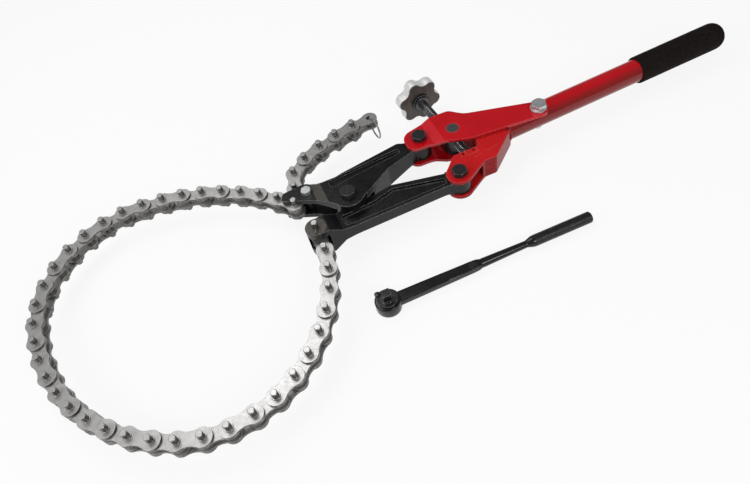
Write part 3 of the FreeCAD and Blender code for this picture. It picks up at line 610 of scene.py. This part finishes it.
def turned_profile(name: str, stations: Stations, sides: int, step: float) -> Piece:
    """Turned piece along +X whose radius runs straight from station to station.

    Args:
        name: the piece's name.
        stations: distance from the start and radius of each station, in millimetres.
        sides: points round it.
        step: distance between its rings in millimetres.

    Returns:
        The new piece.
    """
    length = stations[-1][0]
    widest = max(radius for _, radius in stations)
    piece = turned_cylinder(name, widest * MM, length * MM, sides, int(round(length / step)))

    def follow(point: Vector) -> Vector:
        """Scale the point to the profile's radius at its place."""
        share = sizes_at(stations, point.x / MM)[0] / widest
        return Vector((point.x, point.y * share, point.z * share))

    reshape(piece, follow)
    return piece


def stack(piece: Piece, steps: Iterable[Span]) -> None:
    """Extrude a flat piece upwards step by step.

    Args:
        piece: a piece with one face in the XY plane.
        steps: rise in metres and spread of each step.
    """
    select_only(piece)
    bpy.ops.object.mode_set(mode="EDIT")
    bpy.ops.mesh.select_all(action="SELECT")
    for rise, spread in steps:
        bpy.ops.mesh.extrude_region_move(TRANSFORM_OT_translate={"value": (0.0, 0.0, rise)})
        bpy.ops.transform.resize(value=(spread, spread, 1.0), center_override=(0.0, 0.0, 0.0))
    bpy.ops.mesh.select_all(action="SELECT")
    bpy.ops.mesh.normals_make_consistent(inside=False)
    bpy.ops.object.mode_set(mode="OBJECT")


def carve(piece: Piece, radius: float, place: Span, low: float, high: float) -> None:
    """Cut an upright round hole into a piece.

    Args:
        piece: the piece.
        radius: the hole's radius in metres.
        place: its axis.
        low: height of its floor.
        high: height that it reaches.
    """
    clear_selection()
    bpy.ops.mesh.primitive_cylinder_add(vertices=64, radius=radius, depth=high - low,
                                        location=(place[0], place[1], (low + high) / 2))
    cutter = bpy.context.active_object
    select_only(piece)
    cut = piece.modifiers.new("hole", "BOOLEAN")
    cut.operation = "DIFFERENCE"
    cut.solver = "EXACT"
    cut.object = cutter
    bpy.ops.object.modifier_apply(modifier=cut.name)
    bpy.data.objects.remove(cutter)


def weld_bead(name: str, start: Triple, end: Triple, radius: float, scallops: float = 0.14) -> Piece:
    """Straight weld bead with a scalloped skin.

    Args:
        name: the piece's name.
        start: one end, in millimetres.
        end: the other end.
        radius: its half width in millimetres.
        scallops: how far its skin sinks between the drops, as a share of the radius.

    Returns:
        The new piece.
    """
    way = Vector(end) - Vector(start)
    length = way.length
    piece = turned_cylinder(name, radius * MM, length * MM, BEAD_SIDES, max(6, int(length * 2)))

    def scallop(point: Vector) -> Vector:
        """Narrow the bead between its drops and at its ends."""
        along = point.x / MM
        drop = 1.0 - scallops + scallops * abs(math.sin(math.pi * along / (BEAD_DROP * radius)))
        closing = min(1.0, BEAD_END + along / radius, BEAD_END + (length - along) / radius)
        return Vector((point.x, point.y * drop * closing, point.z * drop * closing))

    reshape(piece, scallop)
    turned = way.to_track_quat("X", "Z").to_matrix().to_4x4()
    piece.data.transform(Matrix.Translation(Vector(start) * MM) @ turned)
    return piece


# -------- sub-assemblies
@dataclass
class Chain:
    """Extended-pin chain with its end ring."""

    pairs: int = 19
    tail: int = 7

    def build(self) -> None:
        """Dress the links and the ring."""
        steel = CHAIN_STEEL.build()
        dress([f"chain_pair_{i + 1:02d}" for i in range(self.pairs)], steel)
        dress([f"tail_link_{i + 1}" for i in range(self.tail)], steel)
        dress(["anchor_pin"], steel)
        dress(["end_ring", "anchor_cotter"], WIRE.build())


@dataclass
class Jaws:
    """The two cast jaws and their bolts."""

    dark: tuple[str, ...] = ("jaw_pivot_bolt", "jaw_pivot_nut", "hook_spacer", "ear_stud")
    bright: tuple[str, ...] = ("hook_screw", "hook_screw_nut")

    def build(self) -> None:
        """Dress the castings and their bolts."""
        dress(["hook_jaw"], HOOK_BLACK.build())
        dress(["anchor_jaw"], ANCHOR_BLACK.build())
        dress(self.dark, BLACK_OXIDE.build())
        dress(self.bright, BRIGHT_ZINC.build())


@dataclass
class Lever:
    """Lever plates, their bolts and the trunnion nut."""

    plates: tuple[str, ...] = ("lever_plate_top", "lever_plate_bottom")

    def build(self) -> None:
        """Dress the plates and bolts."""
        dress(self.plates, RED_ENAMEL.build())
        dress(["lever_bolt", "lever_nut"], BLACK_OXIDE.build())
        dress(["trunnion_nut"], TRUNNION_OXIDE.build())
        dress(["fulcrum_bolt", "fulcrum_washer"], BRIGHT_ZINC.build())


@dataclass
class FeedScrew:
    """Feed screw with its thread, foot, collar and star knob. Lengths are in millimetres."""

    trunnion: Span = (148.5, 33.5)
    seat: Span = (151.0, -4.5)
    radius: float = 6.0
    lead: float = 2.0
    thread_depth: float = 0.75
    thread_flank: float = 3.2  # steepness of the thread's flanks
    thread_root: float = 0.2  # flat at the thread's root
    crest_depth: float = 0.36  # how far down a crest is painted lighter as a highlight
    rings_per_turn: int = 6
    sides: int = 28
    foot_gap: float = 0.3
    foot_floor: float = 3.0
    plain_tip: float = 0.5
    plain_length: float = 16.0
    plain_depth: float = 0.4
    neck_start: float = 20.0  # from the knob's near face back to the neck's start
    neck_sides: int = 40
    neck_step: float = 0.1
    neck_profile: Stations = ((0.0, 5.3), (0.7, 6.0), (14.0, 6.0), (14.2, 8.9), (14.7, 9.4), (15.7, 9.4))
    knob_reach: float = 84.0
    knob_socket: float = 4.0  # how far the threaded screw stops short of the knob
    knob_radius: float = 30.0
    knob_turn: float = 15.0
    knob_sides: int = 180
    knob_near: float = 0.955  # spread of the knob's outline at its near face
    lobes: int = 6
    lobe_radius: float = 8.5
    valley_radius: float = 9.0
    knob_profile: Stations = (
        (0.5, 0.98), (1.7, 1.0), (11.5, 1.0), (13.4, 0.985), (15.0, 0.945), (16.4, 0.87), (17.8, 0.76),
        (19.4, 0.6), (21.0, 0.42), (22.2, 0.24), (22.8, 0.08))

    def build(self) -> None:
        """Thread the screw and dress the rest."""
        dress(["screw_foot", "knob_collar"], BLACK_OXIDE.build())
        self.thread(SCREW_STEEL.build(), SCREW_CREST_HIGHLIGHT.build())
        self.neck(NECK_STEEL.build())
        self.knob_casting(KNOB_CAST.build())

    def heading(self) -> float:
        """Heading of the screw in degrees, from its seat towards the knob."""
        way = Vector(self.trunnion) - Vector(self.seat)
        return math.degrees(math.atan2(way.y, way.x))

    def at(self, reach: float) -> Triple:
        """Place on the screw's axis at a distance from the trunnion, in metres."""
        turn = math.radians(self.heading())
        return ((self.trunnion[0] + reach * math.cos(turn)) * MM,
                (self.trunnion[1] + reach * math.sin(turn)) * MM, MID_HEIGHT)

    def neck(self, finish: Material) -> None:
        """Plain neck between the thread and the knob, with a flange on the collar."""
        piece = turned_profile("screw_neck", self.neck_profile, self.neck_sides, self.neck_step)
        stand(piece, self.at(self.knob_reach - self.neck_start), self.heading())
        settle(piece, "screw", finish, smooth=40.0)

    def star_line(self, turn: float) -> float:
        """Radius in millimetres of the knob's outline, at a turn in radians from a lobe's middle."""
        half = math.pi / self.lobes
        turn = (turn + half) % (2 * half) - half
        middle = self.knob_radius - self.lobe_radius
        both = self.lobe_radius + self.valley_radius
        valley = middle * math.cos(half) + math.sqrt(both ** 2 - (middle * math.sin(half)) ** 2)
        share = self.lobe_radius / both
        touch_x = middle + (valley * math.cos(half) - middle) * share
        touch_y = valley * math.sin(half) * share
        if abs(turn) <= math.atan2(touch_y, touch_x):
            return middle * math.cos(turn) + math.sqrt(self.lobe_radius ** 2 - (middle * math.sin(turn)) ** 2)
        away = half - abs(turn)
        return valley * math.cos(away) - math.sqrt(self.valley_radius ** 2 - (valley * math.sin(away)) ** 2)

    def knob_casting(self, finish: Material) -> None:
        """Cast knob with round lobes, a crowned far side and softened rims."""
        clear_selection()
        bpy.ops.mesh.primitive_circle_add(vertices=self.knob_sides, radius=1.0, fill_type="NGON",
                                          location=(0, 0, 0))
        piece = new_piece("knob_casting")

        def star(point: Vector) -> Vector:
            """Pull the point onto the star's outline."""
            turn = math.atan2(point.y, point.x)
            radius = self.star_line(turn - math.pi / self.lobes) * self.knob_near * MM
            return Vector((radius * math.cos(turn), radius * math.sin(turn), 0.0))

        reshape(piece, star)
        stations = ((0.0, self.knob_near), *self.knob_profile)
        stack(piece, [((high - low) * MM, spread / before)
                      for (low, before), (high, spread) in zip(stations, stations[1:])])
        laid = Matrix.Rotation(math.radians(90), 4, "Y")
        piece.data.transform(laid @ Matrix.Rotation(math.radians(self.knob_turn), 4, "Z"))
        stand(piece, self.at(self.knob_reach), self.heading())
        settle(piece, "screw", finish, ["star_knob"], 45.0)

    def thread(self, finish: Material, crest: Material) -> None:
        """Threaded screw in place of the plain one.

        Args:
            finish: its material.
            crest: the crests' material, painted lighter as a highlight.
        """
        reach = (Vector(self.trunnion) - Vector(self.seat)).length
        start = -reach + self.foot_gap + self.foot_floor
        end = self.knob_reach - self.knob_socket
        plain_from = end - self.plain_length
        rings = int(round((end - start) / self.lead * self.rings_per_turn))
        piece = turned_cylinder("threaded_screw", self.radius * MM, (end - start) * MM, self.sides, rings)

        def cut_groove(point: Vector) -> Vector:
            """Sink the point by the thread's profile at its turn."""
            along = point.x / MM + start
            phase = (along / self.lead - math.atan2(point.z, point.y) / (2 * math.pi)) % 1.0
            flank = abs(phase - 0.5) * self.thread_flank - self.thread_root
            sink = self.thread_depth * min(1.0, max(0.0, flank))
            if along > plain_from or along < start + self.plain_tip:
                sink = self.plain_depth
            share = (self.radius - sink) / self.radius
            return Vector((point.x, point.y * share, point.z * share))

        reshape(piece, cut_groove)
        stand(piece, self.at(start), self.heading())
        settle(piece, "screw", finish, ["feed_screw"], 50.0)
        self.paint_crest_highlights(piece, crest, plain_from)

    def paint_crest_highlights(self, piece: Piece, crest: Material, plain_from: float) -> None:
        """Give the thread's crests a material painted lighter as a highlight, up to where the screw is plain.
        """
        piece.data.materials.append(crest)
        middle = Vector(self.at(0.0))
        way = (Vector(self.at(1.0)) - middle).normalized()
        for face in piece.data.polygons:
            arm = face.center - middle
            along = arm.dot(way)
            high = (arm - way * along).length > (self.radius - self.crest_depth) * MM
            if high and along < plain_from * MM:
                face.material_index = 1


@dataclass
class Handle:
    """Yoke, seat block, tube and foam grip. Lengths are in millimetres."""

    start: Span = (201.0, 14.5)
    tilt: float = 1.5
    tube_radius: float = 14.3
    # Beads on the yoke's upper cheek: name, both ends, depth of the axis, half width and scallops.
    beads: tuple[tuple[str, Span, Span, float, float, float], ...] = (
        ("crease_bead", (151.0, -18.6), (184.0, -14.6), 0.3, 0.7, 0.0),
        ("tab_bead_left", (137.2, -8.6), (141.2, -13.0), 0.35, 0.9, 0.03),
        ("tab_bead_right", (157.0, -5.8), (160.6, -8.2), 0.35, 0.9, 0.03))
    weld_place: float = 6.8  # along the tube from its start
    weld_rise: float = 0.5  # above the tube's skin
    weld_reach: float = 62.0  # degrees to each side of the near side
    weld_radius: float = 1.1
    wall_place: Span = (164.3, 4.0)
    wall_heading: float = -8.0
    wall_size: Span = (2.6, 17.0)
    wall_half_height: float = 10.0
    wall_rim: float = 0.5
    grip_start: float = 394.0
    grip_end: float = 519.0
    grip_end_gap: float = 0.4
    grip_radius: float = 17.0
    grip_rim: float = 3.5
    grip_sides: int = 96
    grip_rings: int = 150
    soft_end: float = 0.75  # length of the rounded end against the radius
    soft_end_face: float = 0.45  # radius left at the closed end, as a share
    soft_start: float = 2.0
    soft_start_dip: float = 0.06
    skin: float = 0.992  # mean radius of the rippled skin, as a share
    # Ripples of the skin: waves round the grip, waves along it and their height.
    ripples: tuple[Triple, ...] = ((3, 90, 0.0015), (5, -170, 0.001))

    def build(self) -> None:
        """Dress the handle and cover it with its foam."""
        yoke_red = YOKE_ENAMEL.build()
        dress(["yoke", "yoke_seat"], yoke_red)
        dress(["handle_tube"], TUBE_ENAMEL.build())
        self.yoke_beads(yoke_red)
        self.notch_wall(yoke_red)
        self.tube_weld(yoke_red)
        dress(["yoke_bolt"], BLACK_OXIDE.build())
        dress(["yoke_nut"], BRIGHT_ZINC.build())
        self.foam_sleeve(FOAM.build())

    def yoke_beads(self, finish: Material) -> None:
        """Crease of the yoke's cheek and the weld beads at the seat block's tabs."""
        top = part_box("yoke")[1][2] / MM
        for name, start, end, sunk, radius, scallops in self.beads:
            bead = weld_bead(name, (*start, top - sunk), (*end, top - sunk), radius, scallops)
            settle(bead, "handle", finish)

    def tube_weld(self, finish: Material) -> None:
        """Weld bead round the foot of the tube."""
        radius = self.tube_radius + self.weld_rise
        reach = math.radians(self.weld_reach)
        arc = weld_bead("tube_weld", (0.0, 0.0, 0.0), (2 * reach * radius, 0.0, 0.0), self.weld_radius)

        def wrap(point: Vector) -> Vector:
            """Bend the bead round the near side of the tube."""
            turn = point.x / (radius * MM) - reach
            out = radius * MM + point.y
            return Vector((point.z, -out * math.cos(turn), out * math.sin(turn)))

        reshape(arc, wrap)
        stand(arc, ((self.start[0] + self.weld_place) * MM, self.start[1] * MM, MID_HEIGHT), self.tilt)
        settle(arc, "handle", finish)

    def notch_wall(self, finish: Material) -> None:
        """Wall between the cheeks that closes the yoke beside the screw's foot."""
        clear_selection()
        bpy.ops.mesh.primitive_cube_add(
            size=1.0, location=(self.wall_place[0] * MM, self.wall_place[1] * MM, MID_HEIGHT),
            rotation=(0, 0, math.radians(self.wall_heading)),
            scale=(self.wall_size[0] * MM, self.wall_size[1] * MM, 2 * self.wall_half_height * MM))
        piece = new_piece("notch_wall")
        round_rims(piece, self.wall_rim, 2)
        settle(piece, "handle", finish)

    def foam_sleeve(self, finish: Material) -> None:
        """Foam sleeve with a soft closed end and a slightly uneven skin."""
        length = (self.grip_end - self.grip_start - self.grip_end_gap) * MM
        radius = self.grip_radius * MM
        piece = turned_cylinder("foam_sleeve", radius, length, self.grip_sides, self.grip_rings)
        soft_end = radius * self.soft_end
        soft_start = self.soft_start * MM

        def press(point: Vector) -> Vector:
            """Round off both ends and ripple the skin."""
            share = 1.0
            left = length - point.x
            if left < soft_end:
                bow = math.sqrt(max(0.0, 1 - ((soft_end - left) / soft_end) ** 2))
                share = bow * (1.0 - self.soft_end_face) + self.soft_end_face
            if point.x < soft_start:
                share = min(share, 1 - self.soft_start_dip * (1 - point.x / soft_start) ** 2)
            turn = math.atan2(point.z, point.y)
            share *= self.skin + sum(math.sin(turn * about + point.x * along) * height
                                     for about, along, height in self.ripples)
            return Vector((point.x, point.y * share, point.z * share))

        reshape(piece, press)
        round_rims(piece, self.grip_rim, 4, 50.0)
        angle = math.radians(self.tilt)
        ahead = self.grip_start - self.start[0]
        stand(piece, ((self.start[0] + ahead * math.cos(angle)) * MM,
                      (self.start[1] + ahead * math.sin(angle)) * MM, MID_HEIGHT), self.tilt)
        settle(piece, "handle", finish, ["foam_grip"], 60.0)


@dataclass
class RatchetHandle:
    """Small ratchet handle that lies beside the tool. Lengths are in millimetres."""

    place: Span = (-12.0, -128.5)
    heading: float = -1.2
    head_radius: float = 14.2
    head_height: float = 15.0
    head_rim: float = 2.0
    socket_radius: float = 7.6
    socket_floor: float = 3.0
    cut_top: float = 30.0  # height that cuts from above reach
    well_radius: float = 3.1
    well_depth: float = 2.0
    selector_reach: float = 11.9
    selector_heading: float = 128.0
    button_radius: float = 3.4
    button_height: float = 2.0
    button_gap: float = 0.3
    button_rim: float = 0.8
    button_stretch: float = 0.1
    axis_height: float = 7.5
    # The shank: distance from the head's axis, half width and half height.
    shank_profile: Stations = ((11.5, 7.1, 4.0), (94.0, 5.8, 4.0), (103.0, 5.3, 4.9), (112.0, 5.2, 5.2),
                               (163.0, 4.0, 4.0), (170.0, 6.3, 6.3), (172.2, 6.5, 6.5))
    shank_sides: int = 72
    shank_rings: float = 1.6  # per millimetre
    round_at: float = 108.0  # where the shank's section is fully round
    round_over: float = 12.0
    squareness: float = 10.0
    knurl_start: float = 172.0
    length: float = 242.0
    knurl_radius: float = 6.6
    knurl_depth: float = 0.22
    knurl_sides: int = 96
    knurl_rings: int = 4  # per millimetre
    diamonds: int = 24
    end_round: float = 2.5
    end_cut: float = 0.05
    start_round: float = 1.0
    start_dip: float = 0.4

    def build(self) -> None:
        """Make the forging and the knurled grip and dress the moving pieces."""
        dress(["ratchet_cover", "ratchet_drive"], RATCHET_BLACK.build())
        forged = FORGED_BLACK.build()
        self.selector(forged)
        self.head(forged)
        self.shank(forged)
        self.knurl(KNURLED_BLACK.build())

    def lay(self, piece: Piece) -> None:
        """Set a piece made along +X from the head's axis in its place."""
        stand(piece, (self.place[0] * MM, self.place[1] * MM, 0.0), self.heading)

    def selector_at(self) -> Span:
        """Place of the selector's pivot from the head's axis, in metres."""
        turn = math.radians(self.selector_heading)
        return self.selector_reach * math.cos(turn) * MM, self.selector_reach * math.sin(turn) * MM

    def head(self, finish: Material) -> None:
        """Round head with rolled rims, the drive's socket and the selector's well."""
        piece = upright_cylinder("ratchet_head", self.head_radius, self.head_height, 96, self.head_height / 2)
        bpy.ops.object.modifier_apply(modifier=round_rims(piece, self.head_rim, 4))
        top = self.cut_top * MM
        carve(piece, self.socket_radius * MM, (0.0, 0.0), self.socket_floor * MM, top)
        carve(piece, self.well_radius * MM, self.selector_at(), (self.head_height - self.well_depth) * MM, top)
        self.lay(piece)
        settle(piece, "anchor", finish, ["ratchet_body"], 40.0)

    def selector(self, finish: Material) -> None:
        """Thumb button on the selector's pivot, drawn out a little towards the rim."""
        piece = upright_cylinder("selector_button", self.button_radius, self.button_height, 64, 0.0)
        nib = math.radians(self.selector_heading)

        def pull(point: Vector) -> Vector:
            """Draw the button out towards its nib."""
            turn = math.atan2(point.y, point.x)
            stretch = 1.0 + self.button_stretch * max(0.0, math.cos(turn - nib)) ** 4
            return Vector((point.x * stretch, point.y * stretch, point.z))

        reshape(piece, pull)
        round_rims(piece, self.button_rim, 3)
        height = (self.head_height + self.button_gap + self.button_height / 2) * MM
        piece.data.transform(Matrix.Translation((*self.selector_at(), height)))
        self.lay(piece)
        settle(piece, "ratchet_selector", finish, ["ratchet_selector"], 40.0)

    def shank(self, finish: Material) -> None:
        """Flat tapered shank that turns into a round rod and flares into the grip."""
        start, end = self.shank_profile[0][0], self.shank_profile[-1][0]
        rings = int((end - start) * self.shank_rings)
        piece = turned_cylinder("ratchet_shank", 1.0 * MM, (end - start) * MM, self.shank_sides, rings)

        def forge(point: Vector) -> Vector:
            """Give the point its half width, half height and squareness at its place."""
            along = point.x / MM + start
            wide, tall = sizes_at(self.shank_profile, along)
            turn = math.atan2(point.z, point.y)
            square = 2.0 + self.squareness * min(1.0, max(0.0, (self.round_at - along) / self.round_over))
            across = (abs(math.cos(turn)) / wide) ** square + (abs(math.sin(turn)) / tall) ** square
            reach = across ** (-1.0 / square) * MM
            return Vector((along * MM, reach * math.cos(turn), reach * math.sin(turn) + self.axis_height * MM))

        reshape(piece, forge)
        self.lay(piece)
        settle(piece, "anchor", finish, smooth=30.0)

    def knurl(self, finish: Material) -> None:
        """Grip with a diamond knurl and a round end."""
        length = self.length - self.knurl_start
        piece = turned_cylinder("ratchet_knurl", self.knurl_radius * MM, length * MM, self.knurl_sides,
                                int(length * self.knurl_rings))
        pitch = 2 * math.pi * self.knurl_radius / self.diamonds

        def press(point: Vector) -> Vector:
            """Sink the point between the diamonds and round off the ends."""
            along = point.x / MM
            lift = Vector((point.x + self.knurl_start * MM, 0.0, self.axis_height * MM))
            wave = self.diamonds * math.atan2(point.z, point.y) / 2
            twist = math.pi * along / pitch
            ridge = abs(math.sin(wave + twist)) * abs(math.sin(wave - twist))
            sink = self.knurl_depth * (1.0 - ridge)
            left = length - along
            if left < self.end_round:
                bow = math.sqrt(max(0.0, self.end_round ** 2 - (self.end_round - left) ** 2))
                sink = self.end_round - bow + self.end_cut
            if along < self.start_round:
                sink = self.start_dip * (self.start_round - along)
            share = (self.knurl_radius - sink) / self.knurl_radius
            return lift + Vector((0.0, point.y * share, point.z * share))

        reshape(piece, press)
        self.lay(piece)
        settle(piece, "anchor", finish, smooth=60.0)


# -------- studio
@dataclass
class Studio:
    """Floor, soft lights and camera."""

    eye: Triple = (-69.7, -473.4, 564.1)
    ahead: Triple = (0.1078, 0.6049, -0.7889)
    roll: float = -15.588
    lens: float = 29.63
    sensor: float = 36.0
    near_clip: float = 0.01
    floor_reach: float = 24.0
    floor_tone: float = 0.88
    floor_rough: float = 0.9
    floor_glow: float = 0.87  # share of plain white that the floor shows
    air_level: float = 0.36  # light of the pale world on the tool
    gloss_level: float = 0.55  # how much of it shows in reflections
    # Lamps: name, place in metres, side in metres and power in watts.
    lamps: tuple[tuple[str, Triple, float, float], ...] = (
        ("lamp_above", (-0.27, 0.5, 1.08), 0.6, 4.1),
        ("lamp_left", (-1.0, -0.2, 0.8), 0.5, 3.5),
        ("lamp_front", (0.3, -1.0, 0.75), 0.45, 4.5))

    def build(self) -> None:
        """Set up everything round the tool."""
        self.floor()
        self.air()
        for name, place, size, power in self.lamps:
            self.lamp(name, place, size, power)
        self.camera()

    def floor(self) -> None:
        """Pale floor that stays white to the camera and keeps the shadow."""
        clear_selection()
        bpy.ops.mesh.primitive_plane_add(size=self.floor_reach, location=(0, 0, 0))
        floor = new_piece("studio_floor")
        graph = Graph("studio_floor")
        tone = rgba((self.floor_tone,) * 3)
        graph.feed(graph.shader, {"Base Color": tone, "Roughness": self.floor_rough})
        rays = graph.add("ShaderNodeLightPath").outputs
        seen = graph.math("MAXIMUM", rays["Is Camera Ray"], rays["Is Glossy Ray"])
        glow = graph.add("ShaderNodeEmission")
        blend = graph.add("ShaderNodeMixShader")
        graph.feed(blend, {0: graph.math("MULTIPLY", seen, self.floor_glow), 1: graph.shader.outputs[0],
                           2: glow.outputs[0]})
        graph.link(blend.outputs[0], graph.output.inputs["Surface"])
        floor.data.materials.append(graph.material)

    def air(self) -> None:
        """Pale world that is white to the camera and dimmer in reflections."""
        world = bpy.data.worlds.new("studio_air")
        bpy.context.scene.world = world
        world.use_nodes = True
        wiring = Wiring(world.node_tree)
        rays = wiring.add("ShaderNodeLightPath").outputs
        seen = wiring.math("MAXIMUM", rays["Is Camera Ray"], rays["Is Transmission Ray"])
        level = wiring.remap(seen, (0.0, 1.0), (self.air_level, 1.0))
        dimmer = wiring.remap(rays["Is Glossy Ray"], (0.0, 1.0), (1.0, self.gloss_level))
        wiring.feed(world.node_tree.nodes["Background"], {
            "Color": (1.0, 1.0, 1.0, 1.0), "Strength": wiring.math("MULTIPLY", level, dimmer)})

    def lamp(self, name: str, place: Triple, size: float, power: float) -> None:
        """One square lamp that faces the tool.

        Args:
            name: its name.
            place: where it hangs, in metres.
            size: its side in metres.
            power: its power in watts.
        """
        data = bpy.data.lights.new(name, "AREA")
        data.size = size
        data.energy = power
        lamp = bpy.data.objects.new(name, data)
        bpy.context.scene.collection.objects.link(lamp)
        lamp.location = place
        lamp.rotation_euler = (-Vector(place)).to_track_quat("-Z", "Y").to_euler()

    def camera(self) -> None:
        """Camera at the viewing angle."""
        data = bpy.data.cameras.new("view")
        data.sensor_width = self.sensor
        data.sensor_fit = "HORIZONTAL"
        data.lens = self.lens
        data.clip_start = self.near_clip
        camera = bpy.data.objects.new("view", data)
        bpy.context.scene.collection.objects.link(camera)
        ahead = Vector(self.ahead).normalized()
        right = Vector((ahead.y, -ahead.x, 0.0)).normalized()
        up = right.cross(ahead)
        roll = math.radians(self.roll)
        side = right * math.cos(roll) + up * math.sin(roll)
        rise = up * math.cos(roll) - right * math.sin(roll)
        turn = Matrix((side, rise, -ahead)).transposed().to_4x4()
        camera.matrix_world = Matrix.Translation(Vector(self.eye) * MM) @ turn
        bpy.context.scene.camera = camera
        bpy.context.scene.view_settings.view_transform = "Standard"


def main() -> None:
    """Build the whole scene."""
    logging.basicConfig(level=logging.INFO, format="%(name)s: %(message)s")
    for assembly in (Studio(), Chain(), Jaws(), Lever(), FeedScrew(), Handle(), RatchetHandle()):
        assembly.build()


if __name__ == "__main__":
    main()
